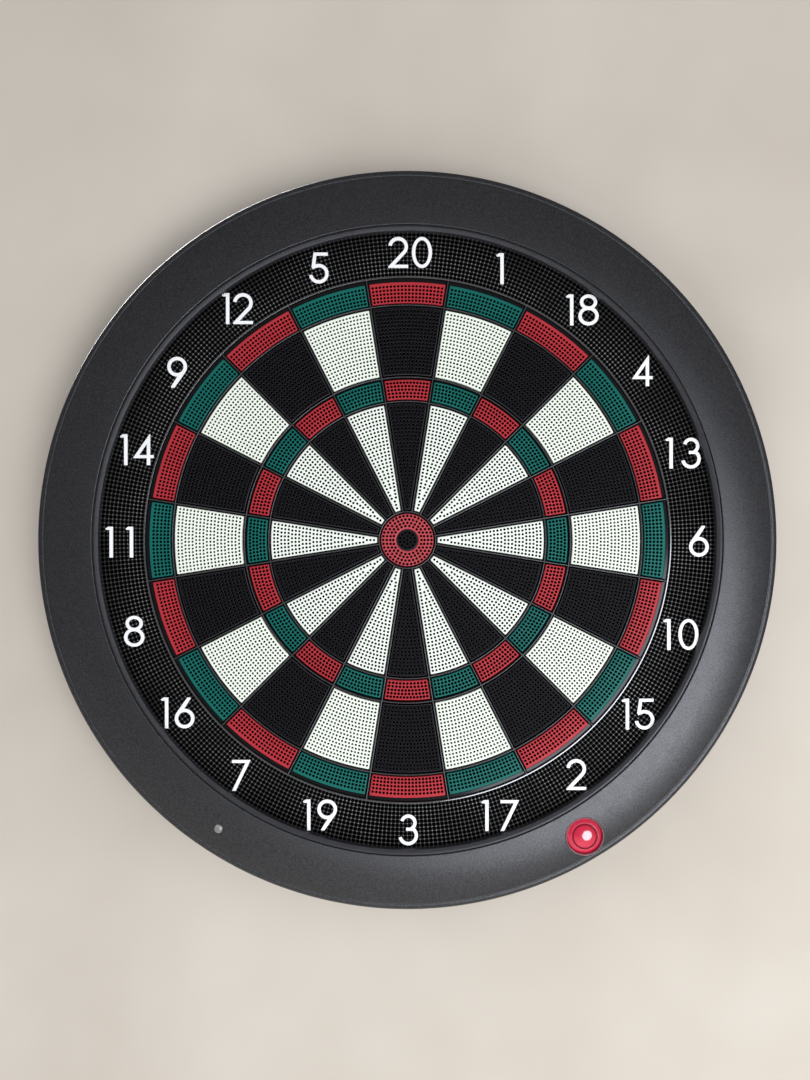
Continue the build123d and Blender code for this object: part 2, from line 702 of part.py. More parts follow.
def button_bezel():
    with BuildPart() as piece:
        # flange, then collar: outer radius, height, length
        for outer, h, length in ((16.4, 26.6, 1.4), (14.6, 28.0, 7.6)):
            with BuildSketch(front(h)):
                with Locations(BUTTON):
                    Circle(outer)
                    Circle(BEZEL_BORE_R, mode=Mode.SUBTRACT)
            extrude(amount=length)
        # the longest front edge is the outer one
        chamfer(piece.edges().group_by(Axis.Y)[0].sort_by(SortBy.LENGTH)[-1], 0.35)
    return piece.part


def button_spring():
    with BuildPart() as piece:
        with BuildLine() as coil:
            Helix(pitch=2.2, height=13.4, radius=8.2, center=(BUTTON_X, -19.1, BUTTON_Z),
                  direction=(0, -1, 0))
        with BuildSketch(Plane(origin=coil.line @ 0, z_dir=coil.line % 0)):
            Circle(0.4)
        sweep(path=coil.line, is_frenet=True)
    return piece.part


def button_board():
    return circuit_board((32, 20), 2, BUTTON, BUTTON_BOARD_H, BOARD_T, BUTTON_BOARD_SPOTS)


def button_switch():
    with BuildPart() as piece:
        blocks(6.0, 6.0, BUTTON_BOARD_FRONT_H, SWITCH_T, [BUTTON])
        discs(1.7, BUTTON_BOARD_FRONT_H + SWITCH_T, 1.5, [BUTTON])
    return piece.part


# ---------------------------------------------------------------- status light
def status_lens():
    with BuildPart() as piece:
        discs(4.6, LENS_FLANGE_H, LENS_FLANGE_T, [LENS])
        discs(3.5, LENS_FLANGE_H + LENS_FLANGE_T, 5.9, [LENS])
        fillet(piece.edges().group_by(Axis.Y)[0], 1.4)
    return piece.part


def led_board():
    return circuit_board((16, 11), 1, LENS, LED_BOARD_H, LED_BOARD_T)


def status_led():
    with BuildPart() as piece:
        discs(2.5, LED_BOARD_H + LED_BOARD_T, 4.4, [LENS])
        fillet(piece.edges().group_by(Axis.Y)[0], 2.0)
    return piece.part


# ---------------------------------------------------------------- batteries
# z of each cell and the way its tip points along X; neighbours lie opposite ways
CELLS = [(z, 1 if k % 2 == 0 else -1) for k, z in enumerate(CELL_Z)]


def battery_cells():
    tip_r, tip_length = CELL_TIP
    with BuildPart() as piece:
        for z, way in CELLS:
            with BuildSketch(Plane(origin=(-CELL_FLAT_X * way, -CELL_H, z), z_dir=(way, 0, 0))):
                Circle(CELL_R)
            extrude(amount=CELL_BODY)
            tip_x = (CELL_BODY - CELL_FLAT_X) * way
            with BuildSketch(Plane(origin=(tip_x, -CELL_H, z), z_dir=(way, 0, 0))):
                Circle(tip_r)
            extrude(amount=tip_length)
    return piece.part


def battery_contacts():
    with BuildPart() as piece:
        for x in (-BOX_X, BOX_X - CONTACT_T):
            for z in CELL_Z:
                with BuildSketch(Plane.YZ.offset(x)):
                    with Locations((-CELL_H, z)):
                        Rectangle(11.0, 12.0)
                extrude(amount=CONTACT_T)
    return piece.part


def battery_springs():
    with BuildPart() as piece:
        for z, way in CELLS:
            with BuildLine() as cone:
                Helix(pitch=1.0, height=2.1, radius=4.4, center=(-27.5 * way, -CELL_H, z),
                      direction=(way, 0, 0), cone_angle=-14)
            with BuildSketch(Plane(origin=cone.line @ 0, z_dir=cone.line % 0)):
                Circle(0.3)
            sweep(path=cone.line, is_frenet=True)
    return piece.part


def battery_door():
    with BuildPart() as piece:
        with BuildSketch(front(COVER_H)):
            door_outline(60.0, -264.0, HINGE_Z, 4.6)
        extrude(amount=2.0)
        # hole and head recess for the door screw
        discs(1.3, CUT_H, 3.0, [DOOR_SCREW], Mode.SUBTRACT)
        discs(2.5, CUT_H, 1.5, [DOOR_SCREW], Mode.SUBTRACT)
        # finger grooves on the outside of the door
        blocks(24.0, 1.2, 0.6, 0.9, [(0, -252), (0, -249), (0, -246)], mode=Mode.SUBTRACT)
        hinge_rod(0.95, 32.0)
    return piece.part


def door_screw():
    with BuildPart() as piece:
        discs(2.3, COVER_H, 1.0, [DOOR_SCREW])
        discs(1.22, COVER_H + 1.0, 4.0, [DOOR_SCREW])
        cut_cross_slots(3.0, 0.6, CUT_H, 1.0, [DOOR_SCREW])
    return piece.part


# ---------------------------------------------------------------- cables
# (x, h, z) points along each cable
SIGNAL_RUNS = [
    [(124.0, 16.3, -217.0), (112.0, 11.5, -203.0), (85.0, 9.6, -185.0), (61.8, 8.6, -169.0)],
    [(-141.0, 21.4, -215.2), (-122.0, 14.0, -203.0), (-88.0, 9.8, -185.0),
     (-61.8, 8.6, -169.0)],
    [(0.0, 11.2, SENSOR_Z - 14.5), (14.0, 10.6, -106.0), (66.0, 9.6, -128.0),
     (61.8, 8.6, -149.0)],
]
BATTERY_RUN = [(28.0, 11.5, -208.6), (30.0, 9.5, -200.0), (26.0, 8.8, -190.0),
               (20.0, 8.6, -182.3)]


def cables(runs, radius):
    """Round cables along smooth curves through the points of each run."""
    with BuildPart() as piece:
        for points in runs:
            with BuildLine() as path:
                Spline(*[(x, -h, z) for x, h, z in points])
            with BuildSketch(Plane(origin=path.line @ 0, z_dir=path.line % 0)):
                Circle(radius)
            sweep(path=path.line)
    return piece.part


def signal_cables():
    return cables(SIGNAL_RUNS, 0.8)


def battery_cable():
    return cables([BATTERY_RUN], 1.0)


# ---------------------------------------------------------------- wall mounting
def wall_bracket():
    middle = (0, BRACKET_Z)
    with BuildPart() as piece:
        with BuildSketch(front(0)):
            with Locations(middle):
                RectangleRounded(BRACKET_WIDTH, BRACKET_HEIGHT, 4)
                with GridLocations(BRACKET_PITCH_X, BRACKET_PITCH_Z, 2, 2):
                    Circle(BRACKET_HOLE_R, mode=Mode.SUBTRACT)
        extrude(amount=BRACKET_T)
        # neck and the wider head in front of it
        blocks(32, 12, BRACKET_T, BRACKET_NECK, [middle])
        blocks(48, 20, BRACKET_T + BRACKET_NECK, 2.0, [middle], corner=2)
    return piece.part


def hanger_plate():
    with BuildPart() as piece:
        with BuildSketch(front(HANGER_H)):
            with Locations((0, BRACKET_Z + 17.0)):
                RectangleRounded(90, 48, 2)
            # notch in the lower edge for the bracket's neck
            with Locations((0, BRACKET_Z - 1.4)):
                Rectangle(33.0, 15.4, mode=Mode.SUBTRACT)
            with Locations(*HANGER_SPOTS):
                Circle(HANGER_HOLE_R, mode=Mode.SUBTRACT)
        extrude(amount=HANGER_T)
        for spot in HANGER_SPOTS:
            with BuildSketch(front(HANGER_H)):
                with Locations(spot):
                    Circle(2.9)
            with BuildSketch(front(COUNTERSINK_H)):
                with Locations(spot):
                    Circle(HANGER_HOLE_R)
            loft(mode=Mode.SUBTRACT)
    return piece.part


def hanger_screws():
    with BuildPart() as piece:
        for spot in HANGER_SPOTS:
            with BuildSketch(front(3.0)):
                with Locations(spot):
                    Circle(2.7)
            with BuildSketch(front(COUNTERSINK_H)):
                with Locations(spot):
                    Circle(SCREW_R)
            loft()
            discs(SCREW_R, COUNTERSINK_H, 5.2, [spot])
    return piece.part


# ---------------------------------------------------------------- screws and pads
def chassis_screws():
    """The same pan-head screw in the spider lugs, backing plate and catch ring."""
    with BuildPart() as piece:
        # driven from the front
        for seat, spots in ((PLATE_FRONT_H + LUG_T, LUG_SPOTS), (PLATE_FRONT_H, PLATE_SPOTS)):
            discs(SCREW_HEAD_R, seat, SCREW_HEAD_T, spots)
            discs(SCREW_R, seat - SHANK, SHANK, spots)
        # driven from the rear
        discs(SCREW_HEAD_R, RING_SCREW_SEAT_H - SCREW_HEAD_T, SCREW_HEAD_T, RING_SPOTS)
        discs(SCREW_R, RING_SCREW_SEAT_H, SHANK, RING_SPOTS)
    return piece.part


def cover_screws():
    with BuildPart() as piece:
        discs(SCREW_HEAD_R, COVER_SCREW_HEAD_H, SCREW_HEAD_T, COVER_SPOTS)
        discs(SCREW_R, COVER_SCREW_HEAD_H + SCREW_HEAD_T, COVER_SCREW_SHANK, COVER_SPOTS)
        cut_cross_slots(3.4, 0.7, 5.0, 2.0, COVER_SPOTS)
    return piece.part


def wall_pads():
    with BuildPart() as piece:
        discs(PAD_R, 0.0, PAD_T, PAD_SPOTS)
    return piece.part


# ---------------------------------------------------------------- build and write
PIECES = (
    outer_bull, inner_bull, spider, catch_ring, numerals, front_housing, rear_cover,
    backing_plate, membrane_films, membrane_spacer, rubber_mat, membrane_tails,
    main_board, board_connectors, board_components, radio_module, impact_sensor, board_screws,
    button_cap, button_bezel, button_spring, button_board, button_switch,
    status_lens, led_board, status_led,
    battery_cells, battery_contacts, battery_springs, battery_door, door_screw,
    signal_cables, battery_cable, wall_bracket, hanger_plate, hanger_screws,
    chassis_screws, cover_screws, wall_pads,
)

os.makedirs("parts", exist_ok=True)
for i, number in enumerate(NUMBERS):
    save(sector(i * SECTOR_DEG), f"sector_{number:02d}")
for make_piece in PIECES:
    save(make_piece(), make_piece.__name__)
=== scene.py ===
"""Electronic dartboard: detailed looks built over its CAD pieces.

The board stands upright against a wall. X is right, Z up, and the front faces -Y; the board's
axis is Y through the origin. Shapes are drawn in face coordinates, in mm: u right, v up and
h the height in front of the wall plane (y = 0). Turns are clockwise from the top, seen from
the front.
"""
import bmesh
import bpy
import math
import numpy as np
from mathutils import Matrix, Vector
from mathutils.geometry import delaunay_2d_cdt


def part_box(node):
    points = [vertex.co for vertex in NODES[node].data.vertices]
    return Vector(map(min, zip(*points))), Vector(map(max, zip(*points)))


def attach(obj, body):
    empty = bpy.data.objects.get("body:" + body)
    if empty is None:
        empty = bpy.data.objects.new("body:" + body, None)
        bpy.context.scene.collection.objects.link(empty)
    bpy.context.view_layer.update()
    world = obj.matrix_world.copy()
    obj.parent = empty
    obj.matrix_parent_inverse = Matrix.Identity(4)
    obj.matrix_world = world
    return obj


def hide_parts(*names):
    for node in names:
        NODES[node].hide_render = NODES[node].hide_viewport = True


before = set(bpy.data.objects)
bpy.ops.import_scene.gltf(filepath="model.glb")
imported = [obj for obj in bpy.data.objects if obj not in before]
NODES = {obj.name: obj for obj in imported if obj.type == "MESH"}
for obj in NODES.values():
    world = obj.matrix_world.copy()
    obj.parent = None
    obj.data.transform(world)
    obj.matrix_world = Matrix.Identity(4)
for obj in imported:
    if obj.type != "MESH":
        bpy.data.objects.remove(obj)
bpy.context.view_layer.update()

MM = 0.001
NUMBERS = [20, 1, 18, 4, 13, 6, 10, 15, 2, 17, 3, 19, 7, 16, 8, 11, 14, 9, 12, 5]
FACE_H = -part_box("sector_20")[0].y * 1000.0      # front of the segments
FOOT_H = -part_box("sector_20")[1].y * 1000.0      # back of the segments
CATCH_H = -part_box("numerals")[1].y * 1000.0      # face of the catch ring
SECTOR = 18.0                                    # degrees per number
HALF = math.radians(SECTOR / 2)
GRID_COLUMNS = 22                                # catch ring holes along one sector
GRID_ROWS = 11
GRID_PITCH = 3.02                                # from one row of holes to the next
BUTTON_AT = (134.8, -225.2)                      # u, v
LENS_AT = (-143.7, -219.5)


# ------------------------------------------------------------------ shader building
NOISE_SPAN = (0.3, 0.7)      # the part of a noise's output that carries most of its variation
BLACK = (0.0, 0.0, 0.0)


def srgb(red, green, blue):
    """sRGB 0-255 to linear."""
    out = []
    for v in (red, green, blue):
        v = v / 255.0
        out.append(v / 12.92 if v <= 0.04045 else ((v + 0.055) / 1.055) ** 2.4)
    return out


def scaled(colour, factor):
    return [min(v * factor, 1.0) for v in colour]


class Look:
    """A material with a Principled shader, and short calls for adding nodes to it."""

    def __init__(self, name):
        self.mat = bpy.data.materials.new(name)
        self.mat.use_nodes = True
        self.tree = self.mat.node_tree
        self.tree.nodes.clear()
        self.out = self.add("ShaderNodeOutputMaterial")
        self.bsdf = self.add("ShaderNodeBsdfPrincipled")
        self.link(self.bsdf.outputs[0], self.out.inputs[0])
        self.coords = self.add("ShaderNodeTexCoord").outputs["Object"]
        self.normal = None

    def add(self, kind, **props):
        node = self.tree.nodes.new(kind)
        for key, value in props.items():
            setattr(node, key, value)
        return node

    def link(self, source, target):
        self.tree.links.new(source, target)

    def put(self, target, value):
        """Feed an input from a socket, a number or a colour."""
        if isinstance(value, bpy.types.NodeSocket):
            self.link(value, target)
        elif isinstance(value, (int, float)):
            target.default_value = value
        else:
            target.default_value = (*value[:3], 1.0)

    def set(self, name, value):
        """Feed an input of the Principled shader."""
        self.put(self.bsdf.inputs[name], value)

    def noise(self, scale, detail=2.0, rough=0.5, coords=None):
        node = self.add("ShaderNodeTexNoise")
        node.inputs["Scale"].default_value = scale
        node.inputs["Detail"].default_value = detail
        node.inputs["Roughness"].default_value = rough
        self.link(coords or self.coords, node.inputs["Vector"])
        return node.outputs["Fac"]

    def voronoi(self, scale):
        node = self.add("ShaderNodeTexVoronoi")
        node.inputs["Scale"].default_value = scale
        self.link(self.coords, node.inputs["Vector"])
        return node.outputs["Distance"]

    def mapping(self, **transform):
        node = self.add("ShaderNodeMapping")
        for key, value in transform.items():
            node.inputs[key].default_value = value
        self.link(self.coords, node.inputs["Vector"])
        return node.outputs[0]

    def remap(self, value, span=(0.0, 1.0), to=(0.0, 1.0)):
        """Carry span[0]..span[1] over to to[0]..to[1], clamped."""
        node = self.add("ShaderNodeMapRange")
        node.inputs["From Min"].default_value = span[0]
        node.inputs["From Max"].default_value = span[1]
        node.inputs["To Min"].default_value = to[0]
        node.inputs["To Max"].default_value = to[1]
        self.link(value, node.inputs["Value"])
        return node.outputs[0]

    def vary(self, pattern, to):
        """A value that follows a noise between two limits."""
        return self.remap(pattern, span=NOISE_SPAN, to=to)

    def math(self, operation, *values):
        node = self.add("ShaderNodeMath", operation=operation)
        for target, value in zip(node.inputs, values):
            self.put(target, value)
        return node.outputs[0]

    def hypot(self, x, z):
        x_squared = self.math("MULTIPLY", x, x)
        z_squared = self.math("MULTIPLY", z, z)
        return self.math("SQRT", self.math("ADD", x_squared, z_squared))

    def height(self):
        """Distance in front of the wall, in mm."""
        split = self.add("ShaderNodeSeparateXYZ")
        self.link(self.coords, split.inputs[0])
        return self.math("MULTIPLY", split.outputs["Y"], -1000.0)

    def across(self):
        """X and Z, in metres."""
        split = self.add("ShaderNodeSeparateXYZ")
        self.link(self.coords, split.inputs[0])
        return split.outputs["X"], split.outputs["Z"]

    def mix(self, amount, first, second):
        node = self.add("ShaderNodeMix", data_type="RGBA", blend_type="MIX")
        # inputs 0, 6 and 7 are the factor and the two colours
        for index, value in ((0, amount), (6, first), (7, second)):
            self.put(node.inputs[index], value)
        return node.outputs[2]

    def blend(self, pattern, first, second):
        """A colour that follows a noise between two colours."""
        return self.mix(self.vary(pattern, to=(0.0, 1.0)), first, second)

    def bump(self, height, depth, strength):
        """Add a bump layer, depth in metres, over those already there."""
        node = self.add("ShaderNodeBump")
        node.inputs["Distance"].default_value = depth
        node.inputs["Strength"].default_value = strength
        self.link(height, node.inputs["Height"])
        if self.normal is not None:
            self.link(self.normal, node.inputs["Normal"])
        self.normal = node.outputs[0]
        self.link(self.normal, self.bsdf.inputs["Normal"])


# ------------------------------------------------------------------ plastics
DRIFT_SCALE = 22.0             # slow change of colour
DUST = (0.55, 0.53, 0.5)
FLECK = (0.42, 0.42, 0.44)
GLINT_START = (32.5, 32.7)      # heights over which the painted highlight on the hole edges fades in, mm
GLINT_END = (32.93, 32.985)     # and out again, below the flat face


def plastic(name, base, rough, var=0.10, grain=1400.0, grain_depth=2e-5, grain_strength=0.35,
            dust=0.0, spec=0.5, coat=0.0, rough_var=0.06, painted_pit_shade=None, fleck=0.0, painted_glint=None,
            mottle=0.0):
    """Moulded plastic: slow colour drift, fine moulded grain, uneven gloss and a little dust,
    with painted shade darkening the holes with depth and a painted highlight on the hole edges.

    base and the hole-edge highlight colour are sRGB; var and rough_var are the swing of colour
    and roughness; dust, fleck and mottle are amounts. The hole shade setting is (height where
    the painted shade starts, height where it is full, share of colour left there).
    """
    look = Look(name)
    base = srgb(*base)
    drift = look.noise(scale=DRIFT_SCALE, detail=3.0, rough=0.55)
    fine = look.noise(scale=grain, rough=0.6)
    cloud = look.noise(scale=DRIFT_SCALE * 5.0, detail=3.0)
    colour = look.blend(drift, scaled(base, 1.0 - var), scaled(base, 1.0 + var))
    grain_amount = look.remap(fine, span=(0.35, 0.65), to=(0.0, 0.5))
    colour = look.mix(grain_amount, colour, scaled(base, 1.0 - 1.6 * var))
    if dust:
        speck = look.noise(scale=2600.0, detail=1.0)
        patch = look.noise(scale=30.0)
        speck = look.remap(speck, span=(0.66, 0.74), to=(0.0, dust))
        patch = look.remap(patch, span=(0.42, 0.62))
        colour = look.mix(look.math("MULTIPLY", speck, patch), colour, DUST)
    if fleck:
        spark = look.voronoi(scale=1000.0)
        colour = look.mix(look.remap(spark, span=(0.12, 0.28), to=(fleck, 0.0)), colour, FLECK)
    if mottle:
        spots = look.noise(scale=800.0, detail=4.0, rough=0.7)
        light = look.remap(spots, span=(0.42, 0.62), to=(0.0, mottle))
        colour = look.mix(light, colour, scaled(base, 1.9))
        dark = look.remap(spots, span=(0.58, 0.40), to=(0.0, mottle))
        colour = look.mix(dark, colour, scaled(base, 0.55))
    # painted highlight: the hole edges just below the face get a lighter colour that stands in
    # for glints
    if painted_glint:
        start = look.remap(look.height(), span=GLINT_START)
        end = look.remap(look.height(), span=GLINT_END, to=(1.0, 0.0))
        colour = look.mix(look.math("MULTIPLY", start, end), colour, srgb(*painted_glint))
    # painted shade: the colour darkens with depth down the holes, where shade falls
    if painted_pit_shade:
        top, bottom, left = painted_pit_shade
        shade = look.remap(look.height(), span=(bottom, top), to=(1.0 - left, 0.0))
        colour = look.mix(shade, colour, BLACK)
    look.set("Base Color", colour)
    look.set("Roughness", look.vary(cloud, to=(rough - rough_var, rough + rough_var)))
    look.set("Specular IOR Level", spec)
    if mottle:
        # the moulded texture breaks up the sheen
        sheen = look.remap(spots, span=(0.36, 0.64), to=(0.75, 1.25))
        look.set("Specular IOR Level", look.math("MULTIPLY", sheen, spec))
    if coat:
        look.set("Coat Weight", coat)
        look.set("Coat Roughness", 0.06)
    coarse = look.noise(scale=grain * 0.16)
    look.bump(coarse, depth=grain_depth * 2.0, strength=grain_strength * 0.5)
    look.bump(fine, depth=grain_depth, strength=grain_strength)
    if mottle:
        look.bump(spots, depth=8e-5, strength=0.5)
    return look.mat


TARGET = dict(grain=2200, grain_depth=1e-5)                # grain of the segments and bull
WHITE = dict(TARGET, rough=0.46, var=0.03, spec=0.35)
# the hole settings below paint shade into the holes, darker with depth
BRIGHT = dict(TARGET, rough=0.44, var=0.09, spec=0.18, painted_pit_shade=(32.90, 31.2, 0.10))
PLASTICS = {
    # the lighter hole-edge colour of the black segments is a painted highlight
    "seg_black": dict(TARGET, base=(11, 11, 13), rough=0.5, var=0.14, spec=0.10,
                      painted_glint=(74, 74, 80), painted_pit_shade=(32.86, 32.1, 0.02)),
    "seg_white": dict(WHITE, base=(234, 241, 231), painted_pit_shade=(32.86, 26.5, 0.14)),
    "seg_white_inner": dict(WHITE, base=(232, 238, 231), painted_pit_shade=(32.86, 30.6, 0.02)),
    "seg_red": dict(BRIGHT, base=(172, 48, 57)),
    "seg_green": dict(BRIGHT, base=(18, 98, 91)),
    "bull_red": dict(TARGET, base=(176, 64, 72), rough=0.42, var=0.09, spec=0.3, dust=0.1,
                     painted_pit_shade=(32.90, 31.8, 0.02)),
    "rim": dict(base=(42, 42, 46), rough=0.33, var=0.07, grain=1500, spec=0.6),
    "numeral": dict(base=(238, 240, 243), rough=0.34, var=0.02, grain=2600, grain_depth=6e-6),
    "housing": dict(base=(33, 33, 36), rough=0.37, var=0.07, grain=1500, grain_strength=0.5,
                    dust=0.05, spec=0.9, fleck=0.2, rough_var=0.03, mottle=0.45),
    "cover": dict(base=(40, 40, 43), rough=0.55, var=0.06, grain=900, grain_depth=4e-5,
                  grain_strength=0.6, dust=0.12),
    "chassis": dict(base=(70, 70, 74), rough=0.5, var=0.08),
    "rubber": dict(base=(30, 30, 31), rough=0.72, var=0.12, grain=1100, grain_depth=3e-5,
                   dust=0.2),
    "film": dict(base=(205, 210, 196), rough=0.25, var=0.04, grain=600, grain_depth=1e-5),
    "connector": dict(base=(228, 224, 208), rough=0.4, var=0.04),
    "chip": dict(base=(30, 30, 32), rough=0.5, var=0.1),
    "cell": dict(base=(46, 48, 56), rough=0.25, var=0.08, coat=0.4),
    "cable": dict(base=(28, 28, 29), rough=0.45, var=0.1),
    "led": dict(base=(232, 234, 236), rough=0.12, var=0.03, coat=1.0),
}


# ------------------------------------------------------------------ other materials
def spider_look():
    """Gloss black grid: walls painted darker lower down as painted shade, and polished ridges
    that catch the light, with their tops painted lighter as a painted highlight that the same
    noise scuffing their roughness breaks up.
    """
    look = Look("spider")
    height = look.height()
    wear_and_glint_noise = look.noise(scale=140.0, detail=4.0, rough=0.6)
    # painted highlight: the ridge tops are painted lighter, more in some places than others
    ridge = look.remap(height, span=(33.4, 33.66))
    painted_glint = look.remap(wear_and_glint_noise, span=(0.25, 0.6), to=(0.55, 1.0))
    amount = look.math("MULTIPLY", ridge, painted_glint)
    base = look.blend(look.noise(scale=30.0, detail=3.0), srgb(10, 10, 12), srgb(17, 17, 19))
    # painted shade: the walls go near black lower down
    depth_shade = look.remap(height, span=(30.0, 33.0), to=(1.0, 0.0))
    base = look.mix(depth_shade, base, (0.001, 0.001, 0.001))
    look.set("Base Color", look.mix(amount, base, srgb(64, 64, 67)))
    scuff = look.vary(wear_and_glint_noise, to=(0.0, 0.08))
    flank = look.remap(height, span=(33.3, 33.6), to=(0.5, 0.28))
    polish = look.remap(height, span=(33.75, 33.92), to=(0.0, 0.15))
    look.set("Roughness", look.math("ADD", scuff, look.math("SUBTRACT", flank, polish)))
    look.set("Specular IOR Level", look.remap(height, span=(33.3, 33.6), to=(0.1, 0.6)))
    look.set("Coat Weight", look.remap(height, span=(33.72, 33.9), to=(0.15, 1.0)))
    look.set("Coat Roughness", 0.08)
    look.set("Coat IOR", 2.8)
    look.bump(look.noise(scale=900.0), depth=6e-6, strength=0.3)
    return look.mat


RIB_START = 201.24       # radius of a rib crossing, from which the rows are counted, mm
RIB_SPACING = 3.1        # distance between crossings along the ring, mm


def ring_look():
    """Black catch ring: matt ribs whose crests carry a painted highlight, and a small polished
    pip where two ribs cross, painted light as a glint in patches; both painted highlights fade
    from the inner rows outward, and painted shade darkens the holes.
    """
    look = Look("ring_black")
    x, z = look.across()
    radius = look.math("MULTIPLY", look.hypot(x, z), 1000.0)
    turn = look.math("ARCTAN2", x, z)
    row = look.math("DIVIDE", look.math("SUBTRACT", radius, RIB_START), GRID_PITCH)
    column = look.math("DIVIDE", turn, math.radians(SECTOR / GRID_COLUMNS))

    def off_crossing(count, shift, pitch):
        """Distance in mm to the nearest whole count; the shift keeps the count positive."""
        folded = look.math("PINGPONG", look.math("ADD", count, shift), 0.5)
        return look.math("MULTIPLY", folded, pitch)

    off_row = off_crossing(row, shift=100.0, pitch=GRID_PITCH)
    off_column = off_crossing(column, shift=1000.0, pitch=RIB_SPACING)
    far = look.hypot(off_row, off_column)
    # painted light: the glints and the crest highlight fade from the inner rows to the outer
    # rows
    inward = look.remap(radius, span=(206.0, 233.0), to=(1.0, 0.3))
    # the painted glints are brighter in some patches than others
    patch = look.remap(look.noise(scale=26.0, detail=3.0, rough=0.6),
                       span=(0.38, 0.62), to=(0.3, 1.0))
    patch = look.math("MULTIPLY", patch, inward)
    high = look.remap(look.height(), span=(32.3, 32.46))
    pip = look.math("MULTIPLY", look.remap(far, span=(0.62, 0.38)), high)
    drift = look.noise(scale=DRIFT_SCALE, detail=3.0, rough=0.55)
    colour = look.blend(drift, srgb(17, 17, 18), srgb(25, 25, 25))
    fine = look.noise(scale=1800.0, rough=0.6)
    # painted highlight: the rib crests are painted lighter
    crest = look.math("MULTIPLY", look.math("MULTIPLY", high, inward), 0.6)
    colour = look.mix(crest, colour, srgb(44, 44, 45))
    # painted glint: a light spot where two ribs cross
    colour = look.mix(look.math("MULTIPLY", pip, patch), colour, srgb(134, 134, 132))
    # painted shade: the colour goes to black down the holes
    shade = look.remap(look.height(), span=(31.0, 32.2), to=(0.85, 0.0))
    look.set("Base Color", look.mix(shade, colour, BLACK))
    look.set("Roughness", look.remap(pip, to=(0.5, 0.28)))
    shine = look.remap(look.math("MULTIPLY", pip, patch), to=(0.1, 0.5))
    look.set("Specular IOR Level", shine)
    look.bump(fine, depth=1e-5, strength=0.35)
    look.bump(look.remap(far, span=(0.7, 0.0)), depth=1.2e-4, strength=0.6)
    return look.mat


def metal(name, base, rough, grain=(60.0, 60.0, 900.0)):
    """Bare metal; grain is the streak pattern's scale along X, Y and Z."""
    look = Look(name)
    stretched = look.mapping(Scale=grain)
    streak = look.noise(scale=1.0, detail=3.0, rough=0.6, coords=stretched)
    spots = look.noise(scale=420.0, detail=3.0, rough=0.55)
    colour = look.blend(streak, scaled(base, 1 - 0.08), scaled(base, 1 + 0.08))
    look.set("Base Color", colour)
    look.set("Roughness", look.vary(spots, to=(rough - 0.07, rough + 0.07)))
    look.set("Metallic", 1.0)
    look.bump(streak, depth=2e-5, strength=0.3)
    look.bump(spots, depth=1e-5, strength=0.3)
    return look.mat


def powder_look():
    """Dark powder coat with an orange-peel surface."""
    look = Look("powder")
    base = srgb(34, 34, 36)
    peel = look.noise(scale=700.0)
    drift = look.noise(scale=18.0, detail=3.0)
    look.set("Base Color", look.blend(drift, scaled(base, 0.85), scaled(base, 1.2)))
    look.set("Roughness", look.vary(peel, to=(0.34, 0.5)))
    look.bump(peel, depth=6e-5, strength=0.5)
    look.bump(look.noise(scale=3000.0, detail=1.0), depth=1e-5, strength=0.4)
    return look.mat


def board_look():
    """Solder resist over copper tracks: thin lighter lines on a rectangular grid."""
    look = Look("board")
    brick = look.add("ShaderNodeTexBrick")
    upright = look.mapping(Rotation=(math.radians(90), 0, 0))
    look.link(upright, brick.inputs["Vector"])
    brick.inputs["Scale"].default_value = 160.0
    brick.inputs["Mortar Size"].default_value = 0.03
    present = look.remap(look.noise(scale=120.0, detail=1.0), span=(0.45, 0.55))
    track = look.math("MULTIPLY", brick.outputs["Fac"], present)
    look.set("Base Color", look.mix(track, srgb(12, 74, 44), srgb(30, 112, 70)))
    look.set("Roughness", look.vary(look.noise(scale=300.0), to=(0.24, 0.36)))
    look.bump(track, depth=3e-5, strength=0.4)
    return look.mat


GROOVE_RADIUS = 9.25 * MM      # groove round the button's dome


def button_look():
    """Translucent crimson acrylic under a clear gloss skin, with painted shade darkening the
    groove, which is also duller.
    """
    look = Look("button")
    x, z = look.across()
    x = look.math("SUBTRACT", x, BUTTON_AT[0] * MM)
    z = look.math("SUBTRACT", z, BUTTON_AT[1] * MM)
    off = look.math("ABSOLUTE", look.math("SUBTRACT", look.hypot(x, z), GROOVE_RADIUS))
    groove = look.remap(off, span=(0.0005, 0.0010), to=(1.0, 0.0))
    base = look.blend(look.noise(scale=60.0), srgb(196, 0, 50), srgb(218, 3, 66))
    # painted shade: the groove round the dome is painted dark crimson
    groove_painted_shade = look.math("MULTIPLY", groove, 0.8)
    look.set("Base Color", look.mix(groove_painted_shade, base, srgb(96, 0, 22)))
    rough = look.vary(look.noise(scale=900.0, detail=3.0), to=(0.30, 0.40))
    look.set("Roughness", look.math("ADD", rough, look.math("MULTIPLY", groove, 0.3)))
    look.set("Specular IOR Level", 0.25)
    look.set("Coat Weight", look.remap(groove, span=(0.0, 0.8), to=(1.0, 0.05)))
    look.set("Coat IOR", 2.4)
    look.set("Coat Roughness", 0.11)
    look.bump(look.noise(scale=220.0), depth=1e-5, strength=0.25)
    return look.mat


def bezel_look():
    """Clear pinkish ring round the button."""
    look = Look("bezel")
    colour = look.blend(look.noise(scale=120.0), srgb(118, 72, 80), srgb(142, 98, 104))
    look.set("Base Color", colour)
    look.set("Roughness", look.vary(look.noise(scale=700.0), to=(0.16, 0.26)))
    look.set("Coat Weight", 0.5)
    look.bump(look.noise(scale=500.0), depth=1e-5, strength=0.3)
    return look.mat


